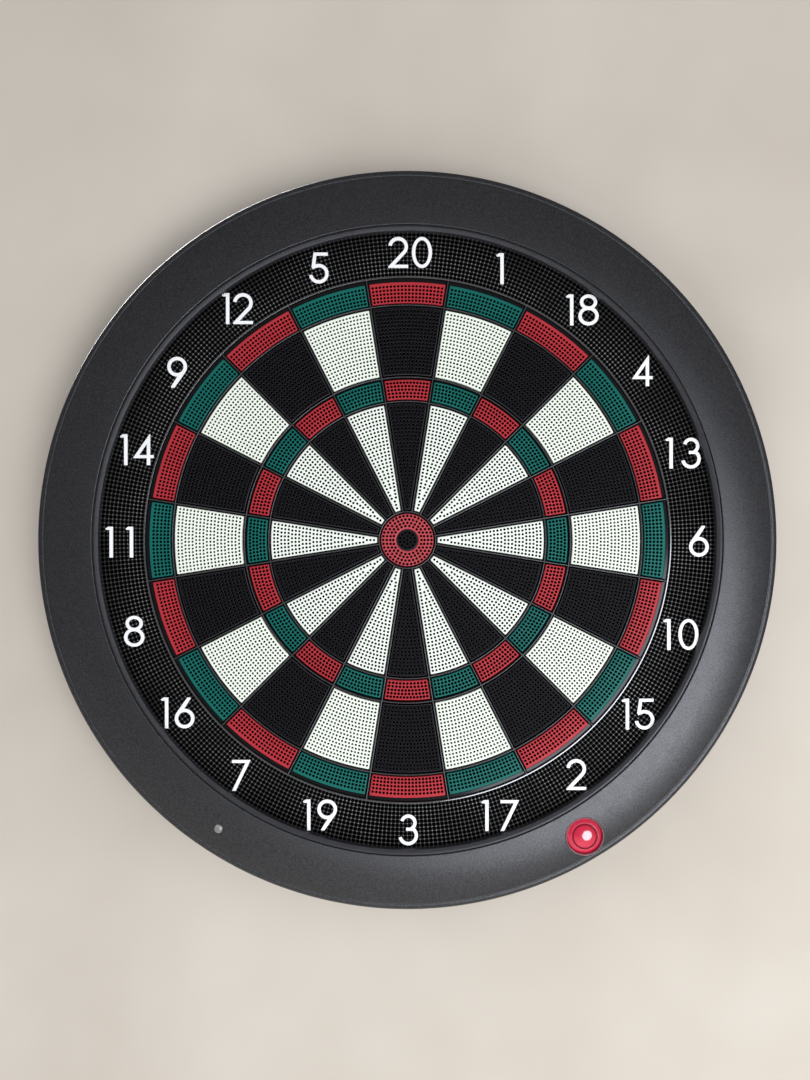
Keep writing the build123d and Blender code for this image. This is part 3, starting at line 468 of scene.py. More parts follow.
def lens_look():
    """Glossy grey status lens."""
    look = Look("lens")
    colour = look.blend(look.noise(scale=240.0), srgb(112, 112, 110), srgb(160, 160, 157))
    look.set("Base Color", colour)
    look.set("Roughness", look.vary(look.noise(scale=800.0), to=(0.06, 0.12)))
    look.set("Coat Weight", 1.0)
    look.set("Coat Roughness", 0.03)
    look.bump(look.noise(scale=500.0), depth=6e-6, strength=0.3)
    return look.mat


MATS = {name: plastic(name, **settings) for name, settings in PLASTICS.items()}
MATS["spider"] = spider_look()
MATS["ring_black"] = ring_look()
MATS["steel"] = metal("steel", base=srgb(178, 178, 174), rough=0.32)
MATS["tin"] = metal("tin", base=srgb(196, 196, 190), rough=0.28, grain=(400.0, 400.0, 60.0))
MATS["brass"] = metal("brass", base=srgb(206, 170, 98), rough=0.3)
MATS["powder"] = powder_look()
MATS["board"] = board_look()
MATS["button"] = button_look()
MATS["bezel"] = bezel_look()
MATS["lens"] = lens_look()


# ------------------------------------------------------------------ mesh helpers
def dress(mesh, material, sharp):
    """One material, smooth faces, and edges steeper than sharp degrees kept crisp."""
    mesh.materials.clear()
    mesh.materials.append(MATS[material])
    mesh.polygons.foreach_set("use_smooth", np.ones(len(mesh.polygons), bool))
    if sharp:
        mesh.set_sharp_from_angle(angle=math.radians(sharp))


def add_piece(name, mesh, material, body, replaces=None, sharp=32.0):
    dress(mesh, material, sharp)
    piece = bpy.data.objects.new(name, mesh)
    bpy.context.scene.collection.objects.link(piece)
    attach(piece, body)
    if replaces:
        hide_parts(replaces)
    return piece


def polar(radius, turn):
    """Point at a clockwise turn from the top, in radians."""
    return radius * math.sin(turn), radius * math.cos(turn)


def directions(turn):
    """Unit vectors outward and clockwise at a turn."""
    sine, cosine = math.sin(turn), math.cos(turn)
    return np.array([sine, cosine]), np.array([cosine, -sine])


def place(points, degrees=0.0):
    """Face coordinates (u, v, h) in mm, turned clockwise, to the scene in metres."""
    turn = math.radians(degrees)
    sine, cosine = math.sin(turn), math.cos(turn)
    u, v, h = np.asarray(points, float).T
    return np.stack([u * cosine + v * sine, -h, -u * sine + v * cosine], 1) * MM


def to_mesh(verts, faces, name):
    mesh = bpy.data.meshes.new(name)
    mesh.from_pydata(place(verts).tolist(), [], faces)
    mesh.update()
    return mesh


def fix_normals(mesh):
    bm = bmesh.new()
    bm.from_mesh(mesh)
    bmesh.ops.recalc_face_normals(bm, faces=bm.faces)
    bm.to_mesh(mesh)
    bm.free()
    mesh.update()


def lathe(profile, steps, centre=(0.0, 0.0)):
    """Closed solid of revolution about an axis along Y.

    profile is (radius, h); it closes on itself, or runs between two poles at radius 0.
    """
    verts, faces, rings = [], [], []
    for radius, h in profile:
        start = len(verts)
        if radius < 1e-6:
            verts.append((*centre, h))
        else:
            for k in range(steps):
                u, v = polar(radius, 2 * math.pi * k / steps)
                verts.append((centre[0] + u, centre[1] + v, h))
        rings.append(range(start, len(verts)))
    pairs = list(zip(rings[:-1], rings[1:]))
    if profile[0][0] > 1e-6 and profile[-1][0] > 1e-6:
        pairs.append((rings[-1], rings[0]))
    for upper, lower in pairs:
        for k in range(steps):
            after = (k + 1) % steps
            if len(upper) == 1:
                faces.append((upper[0], lower[after], lower[k]))
            elif len(lower) == 1:
                faces.append((upper[k], upper[after], lower[0]))
            else:
                faces.append((upper[k], upper[after], lower[after], lower[k]))
    mesh = to_mesh(verts, faces, "lathe")
    fix_normals(mesh)
    return mesh


def rounded(points, radii, steps):
    """Outline with some corners rounded. radii: {index: radius}."""
    out = []
    count = len(points)
    for i, point in enumerate(points):
        if i not in radii:
            out.append(point)
            continue
        corner = np.array(point, float)
        back = np.array(points[i - 1], float) - corner
        ahead = np.array(points[(i + 1) % count], float) - corner
        back_length, ahead_length = np.linalg.norm(back), np.linalg.norm(ahead)
        back, ahead = back / back_length, ahead / ahead_length
        half = math.acos(max(-1, min(1, float(back @ ahead)))) / 2
        trim = min(radii[i] / math.tan(half), 0.48 * back_length, 0.48 * ahead_length)
        radius = trim * math.tan(half)
        bisector = (back + ahead) / np.linalg.norm(back + ahead)
        centre = corner + bisector * (radius / math.sin(half))
        start = corner + back * trim - centre
        end = corner + ahead * trim - centre
        first, last = math.atan2(start[1], start[0]), math.atan2(end[1], end[0])
        sweep = (last - first + math.pi) % (2 * math.pi) - math.pi
        for k in range(steps + 1):
            angle = first + sweep * k / steps
            out.append((centre[0] + radius * math.cos(angle),
                        centre[1] + radius * math.sin(angle)))
    return out


def arc(start, middle, end, steps):
    """Points on the circle through three points, from start to end."""
    (ax, ay), (bx, by), (cx, cy) = start, middle, end
    a2, b2, c2 = ax**2 + ay**2, bx**2 + by**2, cx**2 + cy**2
    d = 2 * (ax * (by - cy) + bx * (cy - ay) + cx * (ay - by))
    x = (a2 * (by - cy) + b2 * (cy - ay) + c2 * (ay - by)) / d
    y = (a2 * (cx - bx) + b2 * (ax - cx) + c2 * (bx - ax)) / d
    radius = math.hypot(ax - x, ay - y)
    first, last = math.atan2(ay - y, ax - x), math.atan2(cy - y, cx - x)
    sweep = (last - first + math.pi) % (2 * math.pi) - math.pi
    angles = [first + sweep * k / steps for k in range(steps + 1)]
    return [(x + radius * math.cos(a), y + radius * math.sin(a)) for a in angles]


# ------------------------------------------------------------------ pierced plates
OUTER, OPENING = -1, -2      # loop numbers of the outline and of a middle opening


def is_inside(polygon, point):
    x, y = point
    ends = np.roll(polygon, -1, 0)
    crosses = (polygon[:, 1] > y) != (ends[:, 1] > y)
    with np.errstate(divide="ignore", invalid="ignore"):
        at = ((ends[:, 0] - polygon[:, 0]) * (y - polygon[:, 1])
              / (ends[:, 1] - polygon[:, 1]) + polygon[:, 0])
    return bool((crosses & (x < at)).sum() % 2)


def triangulate(outer, holes, opening=()):
    """Triangles between an outline, its holes and an opening.

    Points are numbered in order: outer, opening, then each hole.
    """
    points, loop_of, edges = [], [], []
    for number, loop in [(OUTER, outer), (OPENING, opening), *enumerate(holes)]:
        start, count = len(points), len(loop)
        points += loop
        loop_of += [number] * count
        edges += [(start + i, start + (i + 1) % count) for i in range(count)]
    verts, _, faces, origins, _, _ = delaunay_2d_cdt(
        [Vector(p) for p in points], edges, [], 0, 1e-7)
    if len(verts) != len(points):
        raise RuntimeError(f"triangulation merged points: {len(points)} in, {len(verts)} out")
    tris = np.array([[origins[i][0] for i in face] for face in faces if len(face) == 3], int)
    flat = np.array(points, float)

    # a triangle with all its corners on one loop may lie outside the plate
    owner = np.array(loop_of)[tris]
    same = (owner[:, 0] == owner[:, 1]) & (owner[:, 1] == owner[:, 2])
    drop = same & (owner[:, 0] >= 0)
    centres = flat[tris].mean(1)
    for number, loop, keep_inside in ((OUTER, outer, True), (OPENING, opening, False)):
        polygon = np.array(loop, float)
        for i in np.where(same & (owner[:, 0] == number))[0]:
            drop[i] = is_inside(polygon, centres[i]) != keep_inside
    tris = tris[~drop]

    a, b, c = (flat[tris[:, i]] for i in range(3))
    area = (b[:, 0] - a[:, 0]) * (c[:, 1] - a[:, 1]) - (c[:, 0] - a[:, 0]) * (b[:, 1] - a[:, 1])
    tris[area < 0] = tris[area < 0][:, ::-1]
    return tris


def wall(loops, inward=False):
    """Quads joining each loop of vertex numbers to the next one down."""
    faces = []
    for upper, lower in zip(loops[:-1], loops[1:]):
        upper_next, lower_next = np.roll(upper, -1), np.roll(lower, -1)
        if inward:
            quads = [upper, upper_next, lower_next, lower]
        else:
            quads = [upper, lower, lower_next, upper_next]
        faces += np.stack(quads, 1).tolist()
    return faces


HOLE_SIDES = 10


def perforated(name, outline, profile, holes, hole_profile, opening=None, opening_profile=()):
    """A plate pierced by round holes, as one closed solid.

    outline(inset) gives the outer loop counter-clockwise, and profile is [(inset, h)] from
    the face to the back; opening(outset) and opening_profile do the same for a middle
    opening. holes are (u, v) and hole_profile is [(radius, h)].
    """
    verts = []

    def add_loop(points, h):
        start = len(verts)
        verts.extend((x, y, h) for x, y in points)
        return np.arange(start, len(verts))

    def flat(loop):
        return [verts[i][:2] for i in loop]

    outer = [add_loop(outline(inset), h) for inset, h in profile]
    middle = [add_loop(opening(outset), h) for outset, h in opening_profile]
    angles = np.arange(HOLE_SIDES) * 2 * math.pi / HOLE_SIDES
    unit_x, unit_y = np.cos(angles), np.sin(angles)
    levels = []
    for radius, h in hole_profile:
        level = []
        for u, v in holes:
            turn = -math.atan2(u, v)
            cosine, sine = math.cos(turn), math.sin(turn)
            x = unit_x * cosine - unit_y * sine
            y = unit_x * sine + unit_y * cosine
            level.append(add_loop(zip(u + radius * x, v + radius * y), h))
        levels.append(level)

    tris = triangulate(flat(outer[0]), [flat(loop) for loop in levels[0]],
                       flat(middle[0]) if middle else ())
    front = np.concatenate([outer[0], *middle[:1], *levels[0]])
    back = np.concatenate([outer[-1], *middle[-1:], *levels[-1]])
    faces = front[tris].tolist() + back[tris][:, ::-1].tolist()
    faces += wall(outer)
    faces += wall(middle, inward=True)
    for upper, lower in zip(levels[:-1], levels[1:]):
        for pair in zip(upper, lower):
            faces += wall(pair, inward=True)
    return to_mesh(verts, faces, name)


def hole_profile(radii, foot):
    """Softened mouth and bore of a hole, from the face down to foot."""
    return list(zip(radii, (FACE_H, FACE_H - 0.10, FACE_H - 0.34, foot)))


# ------------------------------------------------------------------ scoring segments
# inner and outer radius of each band
BANDS = {
    "single_inner": (23.05, 104.05),
    "triple": (107.15, 122.35),
    "single_outer": (125.95, 177.35),
    "double": (180.55, 196.85),
}
SIDE_GAP = 1.55              # from a sector's edge line to the cell wall
ARC_STEP = 1.6               # vertex spacing along the arcs
SIDE_STEP = 3.0              # and along the sides
# inset, h: softened front edge, then the foot flange
SEGMENT_PROFILE = [
    (0.56, FACE_H), (0.40, FACE_H - 0.07), (0.20, FACE_H - 0.26), (0.0, FACE_H - 0.66),
    (0.0, FOOT_H + 1.6), (-1.25, FOOT_H + 1.6), (-1.25, FOOT_H),
]
SINGLE_HOLE = hole_profile((1.08, 0.98, 0.92, 0.88), FOOT_H)
WIDE_HOLE = hole_profile((1.16, 1.08, 1.02, 1.00), FOOT_H)
WIDE_BANDS = ("double", "triple")

# rows of holes: (radius, count), with None where the count follows from the row's length
DOUBLE_ROWS = (193.6, 190.8, 188.0, 185.2, 182.6)
HOLE_ROWS = {
    "triple": [(120.05, 13), (117.4, 12), (114.75, 12), (112.1, 11), (109.45, 11)],
    "single_outer": [(174.84 - 2.73 * k, None) for k in range(18)],
    "single_inner": [(101.65 - 2.7214 * k, None) for k in range(29)],
}
CELL_MARGIN = 2.0            # the row ends this far from the sector's edge line,
ROW_MARGIN = 1.6             # and this much more
HOLE_SPACING = 2.6           # least spacing along a row


def band_outline(inner, outer):
    """Outline of one band cell, as a function that moves its walls in by inset."""
    width = 2 * HALF
    inner_steps = int(inner * width / ARC_STEP)
    outer_steps = int(outer * width / ARC_STEP)
    side_steps = int((outer - inner) / SIDE_STEP)

    def loop(inset):
        low, high, gap = inner + inset, outer - inset, SIDE_GAP + inset
        low_half, high_half = HALF - math.asin(gap / low), HALF - math.asin(gap / high)
        low_x, low_y = polar(low, low_half)
        high_x, high_y = polar(high, high_half)

        def side(share):
            return (low_x * (1 - share) + high_x * share, low_y * (1 - share) + high_y * share)

        # inner arc left to right, right side going out, outer arc back, left side coming in
        points = [polar(low, -low_half + 2 * low_half * k / inner_steps)
                  for k in range(inner_steps + 1)]
        points += [side(k / side_steps) for k in range(1, side_steps)]
        points += [polar(high, high_half - 2 * high_half * k / outer_steps)
                   for k in range(outer_steps + 1)]
        for k in range(1, side_steps):
            x, y = side(1 - k / side_steps)
            points.append((-x, y))
        return points
    return loop


def band_holes(band):
    if band == "double":
        # straight radial lines of holes, 0.828 degrees apart
        return [polar(radius, math.radians(-7.865 + k * 0.828))
                for radius in DOUBLE_ROWS for k in range(20)]
    holes = []
    for radius, count in HOLE_ROWS[band]:
        half = radius * HALF - CELL_MARGIN - ROW_MARGIN
        if count is None:
            count = int(2 * half / HOLE_SPACING) + 1
        for k in range(count):
            along = 0.0 if count == 1 else -half + 2 * half * k / (count - 1)
            holes.append(polar(radius, along / radius))
    return holes


def build_segments():
    sources = {}
    for band, (inner, outer) in BANDS.items():
        hole = WIDE_HOLE if band in WIDE_BANDS else SINGLE_HOLE
        sources[band] = perforated("seg_" + band, band_outline(inner, outer), SEGMENT_PROFILE,
                                   band_holes(band), hole)
    for i, number in enumerate(NUMBERS):
        dark = i % 2 == 0
        for band, source in sources.items():
            mesh = source.copy()
            mesh.transform(Matrix.Rotation(math.radians(i * SECTOR), 4, "Y"))
            if band in WIDE_BANDS:
                material = "seg_red" if dark else "seg_green"
            elif dark:
                material = "seg_black"
            else:
                material = "seg_white_inner" if band == "single_inner" else "seg_white"
            add_piece(f"segment_{number:02d}_{band}", mesh, material,
                      body=f"sector_{number:02d}", replaces=f"sector_{number:02d}",
                      sharp=40)


# ------------------------------------------------------------------ bull
BULL_RADIUS = 20.0
BULL_OPENING = 8.25
BULL_CENTRE = 8.0            # radius of the inner bull
BULL_BACK = FOOT_H + 3.2     # back of the outer bull's pierced face
# inset or outset, h
BULL_EDGE = [(0.45, FACE_H), (0.22, FACE_H - 0.07), (0.07, FACE_H - 0.2), (0.0, FACE_H - 0.42),
             (0.0, BULL_BACK)]
BULL_OPENING_EDGE = [(0.65, FACE_H), (0.42, FACE_H - 0.10), (0.2, FACE_H - 0.36),
                     (0.0, FACE_H - 0.8), (0.0, BULL_BACK)]
CENTRE_EDGE = [(0.42, FACE_H), (0.2, FACE_H - 0.07), (0.06, FACE_H - 0.2), (0.0, FACE_H - 0.42),
               (0.0, FOOT_H + 1.4), (-3.0, FOOT_H + 1.4), (-3.0, FOOT_H)]
# radius, hole count, turn in hole spacings
BULL_ROWS = [(18.45, 40, 0), (15.75, 34, 0.5), (13.1, 28, 0), (10.75, 22, 0.5)]
CENTRE_ROWS = [(2.9, 6, 0), (5.75, 12, 0.5)]
# radius, h
SKIRT = [(12.0, FOOT_H), (21.3, FOOT_H), (21.3, FOOT_H + 1.6), (BULL_RADIUS, FOOT_H + 1.6),
         (BULL_RADIUS, FOOT_H + 3.18), (12.0, FOOT_H + 3.18)]


def circle(radius, steps):
    """Counter-clockwise circle from the top."""
    return [polar(radius, -2 * math.pi * k / steps) for k in range(steps)]


def ring_holes(rows):
    return [polar(radius, 2 * math.pi * (k + shift) / count)
            for radius, count, shift in rows for k in range(count)]


def build_bull():
    mesh = perforated("bull_outer", lambda inset: circle(BULL_RADIUS - inset, 120), BULL_EDGE,
                      ring_holes(BULL_ROWS), hole_profile((1.12, 1.03, 0.98, 0.96), BULL_BACK),
                      opening=lambda outset: circle(BULL_OPENING + outset, 72),
                      opening_profile=BULL_OPENING_EDGE)
    add_piece("bull_outer_face", mesh, "bull_red", body="outer_bull", replaces="outer_bull",
              sharp=40)
    add_piece("bull_outer_skirt", lathe(SKIRT, 96), "bull_red", body="outer_bull")
    mesh = perforated("bull_inner", lambda inset: circle(BULL_CENTRE - inset, 72), CENTRE_EDGE,
                      [(0.0, 0.0)] + ring_holes(CENTRE_ROWS),
                      hole_profile((1.14, 1.05, 1.00, 0.98), FOOT_H))
    add_piece("bull_inner_face", mesh, "seg_black", body="inner_bull", replaces="inner_bull",
              sharp=40)


# ------------------------------------------------------------------ catch ring
GRID_INNER, GRID_OUTER = 201.2, 234.5
GRID_FOOT = 26.0
GRID_ARC_STEPS = 22
FIRST_ROW = 1.55             # from the inner edge to the middle of the first row
HOLE_HALF_HEIGHT = 1.30      # half a hole's size along the radius
RIB_HALF = 0.21              # half the rib crest between neighbours along the ring
CORNER_CUT = 0.42            # corners cut off the hole's mouth
MOUTH_TAPER = 0.36           # the bore is this much smaller on each side than the mouth
MOUTH_DEPTH = 0.5
RIM_INNER = 234.52
# radius, h
RIM_PROFILE = [(RIM_INNER, GRID_FOOT), (238.2, GRID_FOOT), (238.2, 37.0), (237.4, 37.0),
               (234.85, 36.3), (RIM_INNER, 35.7), (RIM_INNER, CATCH_H)]
RIM_ROUNDING = {2: 0.35, 3: 0.5, 4: 0.25}


def grid_sector():
    """One sector of square-holed grid, open on its two radial sides for welding."""
    step = SECTOR / GRID_COLUMNS
    edge = SECTOR / 2

    def sweep(radius, first, way):
        return [polar(radius, math.radians(first + way * SECTOR * k / GRID_ARC_STEPS))
                for k in range(GRID_ARC_STEPS + 1)]

    radial = [GRID_INNER + FIRST_ROW + GRID_PITCH * (k + 0.5) for k in range(GRID_ROWS - 1)]
    loop = sweep(GRID_INNER, -edge, 1)
    loop += [polar(r, math.radians(edge)) for r in radial]
    loop += sweep(GRID_OUTER, edge, -1)
    loop += [polar(r, math.radians(-edge)) for r in reversed(radial)]

    mouths, bores = [], []       # octagons and squares
    for row in range(GRID_ROWS):
        radius = GRID_INNER + FIRST_ROW + GRID_PITCH * row
        for column in range(GRID_COLUMNS):
            out, along = directions(math.radians(-edge + step * (column + 0.5)))
            centre = out * radius
            w = 0.5 * radius * math.radians(step) - RIB_HALF
            h = HOLE_HALF_HEIGHT
            cut = CORNER_CUT
            octagon = [(w, -h + cut), (w, h - cut), (w - cut, h), (-w + cut, h),
                       (-w, h - cut), (-w, -h + cut), (-w + cut, -h), (w - cut, -h)]
            w, h = w - MOUTH_TAPER, h - MOUTH_TAPER
            square = [(w, -h), (w, h), (-w, h), (-w, -h)]
            mouths.append([tuple(centre + along * x + out * y) for x, y in octagon])
            bores.append([tuple(centre + along * x + out * y) for x, y in square])

    verts = []

    def add_level(points, h):
        start = len(verts)
        verts.extend((x, y, h) for x, y in points)
        return start

    bore_points = [p for ring in bores for p in ring]
    add_level(loop, CATCH_H)
    mouth_start = add_level([p for ring in mouths for p in ring], CATCH_H)
    bore_start = add_level(bore_points, CATCH_H - MOUTH_DEPTH)
    low_start = add_level(loop, GRID_FOOT)
    foot_start = add_level(bore_points, GRID_FOOT)

    faces = triangulate(loop, mouths).tolist()
    # the low loop and the feet of the bores are numbered in one run
    faces += (low_start + triangulate(loop, bores))[:, ::-1].tolist()
    for i in range(len(bores)):
        a, b, c = mouth_start + 8 * i, bore_start + 4 * i, foot_start + 4 * i
        sides = [(k, (k + 1) % 4) for k in range(4)]
        faces += [(a + 2 * k, a + 2 * k + 1, b + after, b + k) for k, after in sides]
        faces += [(a + 2 * k + 1, a + 2 * after, b + after) for k, after in sides]
        faces += [(b + k, b + after, c + after, c + k) for k, after in sides]
    # only the two arcs get a wall: the radial sides are shared with the next sector
    for start in (0, GRID_ARC_STEPS + 1 + len(radial)):
        for k in range(start, start + GRID_ARC_STEPS):
            faces.append((k, low_start + k, low_start + k + 1, k + 1))
    return verts, faces


def build_catch_ring():
    sector_verts, sector_faces = grid_sector()
    verts, faces = [], []
    for i in range(len(NUMBERS)):
        start = i * len(sector_verts)
        verts.append(place(sector_verts, i * SECTOR))
        faces += [tuple(start + j for j in face) for face in sector_faces]
    mesh = bpy.data.meshes.new("catch_grid")
    mesh.from_pydata(np.concatenate(verts).tolist(), [], faces)
    bm = bmesh.new()
    bm.from_mesh(mesh)
    bmesh.ops.remove_doubles(bm, verts=bm.verts, dist=0.000002)
    bm.to_mesh(mesh)
    bm.free()
    add_piece("catch_ring_grid", mesh, "ring_black", body="housing", replaces="catch_ring",
              sharp=20)
    rim = rounded(RIM_PROFILE, RIM_ROUNDING, steps=5)
    add_piece("catch_ring_rim", lathe(rim, 720), "rim", body="housing",
              sharp=38)


# ------------------------------------------------------------------ spider
WALL_FOOT, WALL_EDGE, WALL_TOP = 22.8, 32.1, 33.7      # h of a grid wall's levels
# inner radius, outer radius, steps round
SPIDER_RINGS = [(20.35, 22.75, 144), (104.4, 106.8, 540), (122.95, 125.35, 540),
                (177.75, 180.15, 540)]
# radius, h
SPIDER_OUTER_RING = [
    (199.0, 16.0), (201.0, 16.0), (201.0, 33.8), (200.98, 33.92), (200.92, 33.98),
    (200.82, 34.0), (200.0, 34.0), (199.92, 33.97), (199.84, 33.8), (199.7, 33.3),
    (199.5, 32.2), (199.3, 31.85), (197.25, 31.7), (197.25, WALL_FOOT), (199.0, WALL_FOOT),
]
COLLAR = [(3.6, 16.0), (3.6, 19.6), (3.2, 20.0), (1.7, 20.0), (1.56, 19.8), (1.56, 16.0)]
COLLAR_COUNT = 10
COLLAR_CIRCLE = 204.5        # radius on which the collars stand
BAR_HALF = 1.2               # half the width of a radial wall
BAR_INNER, BAR_OUTER = 21.6, 199.9


def ridge_profile(low, high):
    """Section of a grid wall: straight sides, hollow flanks and a small round ridge."""
    middle, half = (low + high) / 2, (high - low) / 2
    right = [(half, WALL_FOOT), (half, WALL_EDGE), (half * 0.80, WALL_EDGE + 0.22),
             (half * 0.52, WALL_EDGE + 0.72), (0.40, WALL_TOP - 0.30),
             (0.30, WALL_TOP - 0.09), (0.22, WALL_TOP)]
    return [(middle + x, h) for x, h in right] + [(middle - x, h) for x, h in reversed(right)]


def join_sections(first, second, count):
    """Quads between two sections of count points, given the number of each first point."""
    return [(first + j, second + j, second + (j + 1) % count, first + (j + 1) % count)
            for j in range(count)]


def ring_piece(profile, steps, centre=(0.0, 0.0)):
    """A closed section, (radius, h), carried round a centre."""
    verts, faces = [], []
    count = len(profile)
    for k in range(steps):
        for radius, h in profile:
            u, v = polar(radius, 2 * math.pi * k / steps)
            verts.append((centre[0] + u, centre[1] + v, h))
        faces += join_sections(k * count, (k + 1) % steps * count, count)
    return verts, faces


def bar_piece(profile, degrees, steps=24):
    """A radial grid wall with closed ends. profile: (sideways offset, h)."""
    out, along = directions(math.radians(degrees))
    verts, faces = [], []
    count = len(profile)
    for k in range(steps + 1):
        radius = BAR_INNER + (BAR_OUTER - BAR_INNER) * k / steps
        verts += [(*(out * radius + along * x), h) for x, h in profile]
    for k in range(steps):
        faces += join_sections(k * count, (k + 1) * count, count)
    faces.append(tuple(range(count)))
    faces.append(tuple(reversed(range(steps * count, (steps + 1) * count))))
    return verts, faces


def build_spider():
    pieces = [ring_piece(ridge_profile(low, high), steps) for low, high, steps in SPIDER_RINGS]
    pieces.append(ring_piece(SPIDER_OUTER_RING, 720))
    bar = ridge_profile(-BAR_HALF, BAR_HALF)
    pieces += [bar_piece(bar, SECTOR / 2 + SECTOR * k) for k in range(len(NUMBERS))]
    for k in range(COLLAR_COUNT):
        centre = polar(COLLAR_CIRCLE, math.radians(360.0 / COLLAR_COUNT * k))
        pieces.append(ring_piece(COLLAR, 40, centre))
    verts, faces = [], []
    for piece_verts, piece_faces in pieces:
        start = len(verts)
        verts += piece_verts
        faces += [tuple(start + j for j in face) for face in piece_faces]
    mesh = to_mesh(verts, faces, "spider_grid")
    fix_normals(mesh)
    add_piece("spider_grid", mesh, "spider", body="housing", replaces="spider",
              sharp=50)


# ------------------------------------------------------------------ dished surround
# radius, h: inner flange and step, front face, shallow groove, outer lip, side wall and back,
# then the hollow inside
SURROUND_PROFILE = [
    (214.0, 23.4), (214.0, 25.9), (238.35, 25.9), (238.35, 35.0), (239.4, 35.0), (239.5, 35.1),
    (239.5, 35.6), (239.6, 35.95), (239.85, 36.18), (240.25, 36.26),
    *arc((240.9, 36.25), (259.5, 35.25), (277.5, 31.1), steps=20),
    (277.95, 30.9), (278.2, 30.55), (278.32, 30.3), (278.6, 30.25), (279.0, 30.38),
    *arc((279.3, 30.5), (283.0, 29.0), (284.0, 26.0), steps=10),
    (284.0, 20.0), (283.8, 19.2), (279.8, 8.5), (279.3, 8.0), (277.2, 8.0), (281.5, 20.0),
    (281.5, 25.6), (279.2, 28.2), (277.0, 28.9),
    *arc((277.0, 28.9), (259.0, 32.6), (242.1, 33.8), steps=12)[1:],
    (242.1, 23.4),
]
SURROUND_HOLES = [(BUTTON_AT, 14.95), (LENS_AT, 3.6)]      # centre, radius
CUT_FRONT, CUT_BACK = 40.0, 26.9                           # h between which the holes are cut


def cut_hole(piece, centre, radius):
    """Cut a round hole along Y, and leave a plain mesh."""
    profile = [(0.0, CUT_FRONT), (radius, CUT_FRONT), (radius, CUT_BACK), (0.0, CUT_BACK)]
    tool = bpy.data.objects.new("tool", lathe(profile, 96, centre))
    bpy.context.scene.collection.objects.link(tool)
    cut = piece.modifiers.new("hole", "BOOLEAN")
    cut.operation = "DIFFERENCE"
    cut.solver = "EXACT"
    cut.object = tool
    bpy.context.view_layer.update()
    depsgraph = bpy.context.evaluated_depsgraph_get()
    mesh = bpy.data.meshes.new_from_object(piece.evaluated_get(depsgraph), depsgraph=depsgraph)
    piece.modifiers.clear()
    piece.data = mesh
    bpy.data.objects.remove(tool)


def build_surround():
    shell = add_piece("surround", lathe(SURROUND_PROFILE, 720), "housing", body="housing",
                      replaces="front_housing", sharp=None)
    for centre, radius in SURROUND_HOLES:
        cut_hole(shell, centre, radius)
    dress(shell.data, "housing", sharp=38)


# ------------------------------------------------------------------ button and status lens
BUTTON_TOP = 36.9
DOME_RADIUS = 20.4           # radius of the sphere the dome is part of
DOME_STATIONS = (0.8, 1.6, 2.4, 3.2, 4.0, 4.8, 5.6, 6.4, 7.2, 7.9, 8.3)
# radius, h: groove round the dome, sloping shoulder, side, foot flange, then the hollow
# inside with its middle stem
BUTTON_SKIRT = [
    (8.52, 34.95), (8.6, 34.75), (8.64, 34.5), (8.9, 34.3), (9.2, 34.22), (9.5, 34.36),
    (9.75, 34.65), (9.9, 34.8), (10.05, 34.82), (10.2, 34.77), (10.8, 34.58), (11.6, 34.3),
    (12.4, 33.96), (13.0, 33.68), (13.35, 33.4), (13.55, 33.1), (13.7, 32.7), (13.7, 26.4),
    (15.0, 26.3), (15.0, 25.0), (11.9, 25.0), (11.9, 33.0), (2.4, 33.0), (2.4, 25.2),
    (0.0, 25.2),
]
BEZEL_PROFILE = [(13.80, 26.6), (13.80, 35.2), (13.9, 35.5), (14.1, 35.6), (14.32, 35.55),
                 (14.5, 35.35), (14.6, 35.0), (14.6, 28.0), (16.4, 28.0), (16.4, 26.6)]
LENS_RADIUS = 3.5
LENS_EDGE, LENS_RISE = 34.0, 1.6      # h of the dome's edge, and its rise above it
LENS_ANGLES = (0.2, 0.4, 0.6, 0.8, 1.0, 1.2, 1.4, 1.5708)
LENS_FOOT = [(LENS_RADIUS, 29.6), (4.6, 29.6), (4.6, 28.6), (0.0, 28.6)]


def build_button():
    cap = [(0.0, BUTTON_TOP)]
    cap += [(r, BUTTON_TOP - (DOME_RADIUS - math.sqrt(DOME_RADIUS**2 - r * r)))
            for r in DOME_STATIONS]
    cap += BUTTON_SKIRT
    add_piece("button_dome", lathe(cap, 128, BUTTON_AT), "button", body="button",
              replaces="button_cap", sharp=60)
    add_piece("button_light_ring", lathe(BEZEL_PROFILE, 128, BUTTON_AT), "bezel",
              body="housing", replaces="button_bezel", sharp=60)


def build_lens():
    dome = [(0.0, LENS_EDGE + LENS_RISE)]
    dome += [(LENS_RADIUS * math.sin(a), LENS_EDGE + LENS_RISE * math.cos(a))
             for a in LENS_ANGLES]
    dome += LENS_FOOT
    add_piece("status_dome", lathe(dome, 64, LENS_AT), "lens", body="housing",
              replaces="status_lens", sharp=50)


# ------------------------------------------------------------------ numerals
def build_numerals():
    """The CAD's raised numerals, with the edges of their front faces softened."""
    bm = bmesh.new()
    bm.from_mesh(NODES["numerals"].data)
    bmesh.ops.remove_doubles(bm, verts=bm.verts, dist=0.000005)
    bmesh.ops.dissolve_limit(bm, angle_limit=math.radians(1.0), verts=bm.verts, edges=bm.edges)
    front = min(v.co.y for v in bm.verts)
    edges = [e for e in bm.edges
             if all(abs(v.co.y - front) < 1e-6 for v in e.verts) and len(e.link_faces) == 2
             and abs(e.link_faces[0].normal.dot(e.link_faces[1].normal)) < 0.5]
    bmesh.ops.bevel(bm, geom=edges, offset=0.00022, segments=2, profile=0.6, affect="EDGES",
                    clamp_overlap=True)
    mesh = bpy.data.meshes.new("numerals_soft")
    bm.to_mesh(mesh)
    bm.free()
    add_piece("raised_numerals", mesh, "numeral", body="housing", replaces="numerals",
              sharp=28)


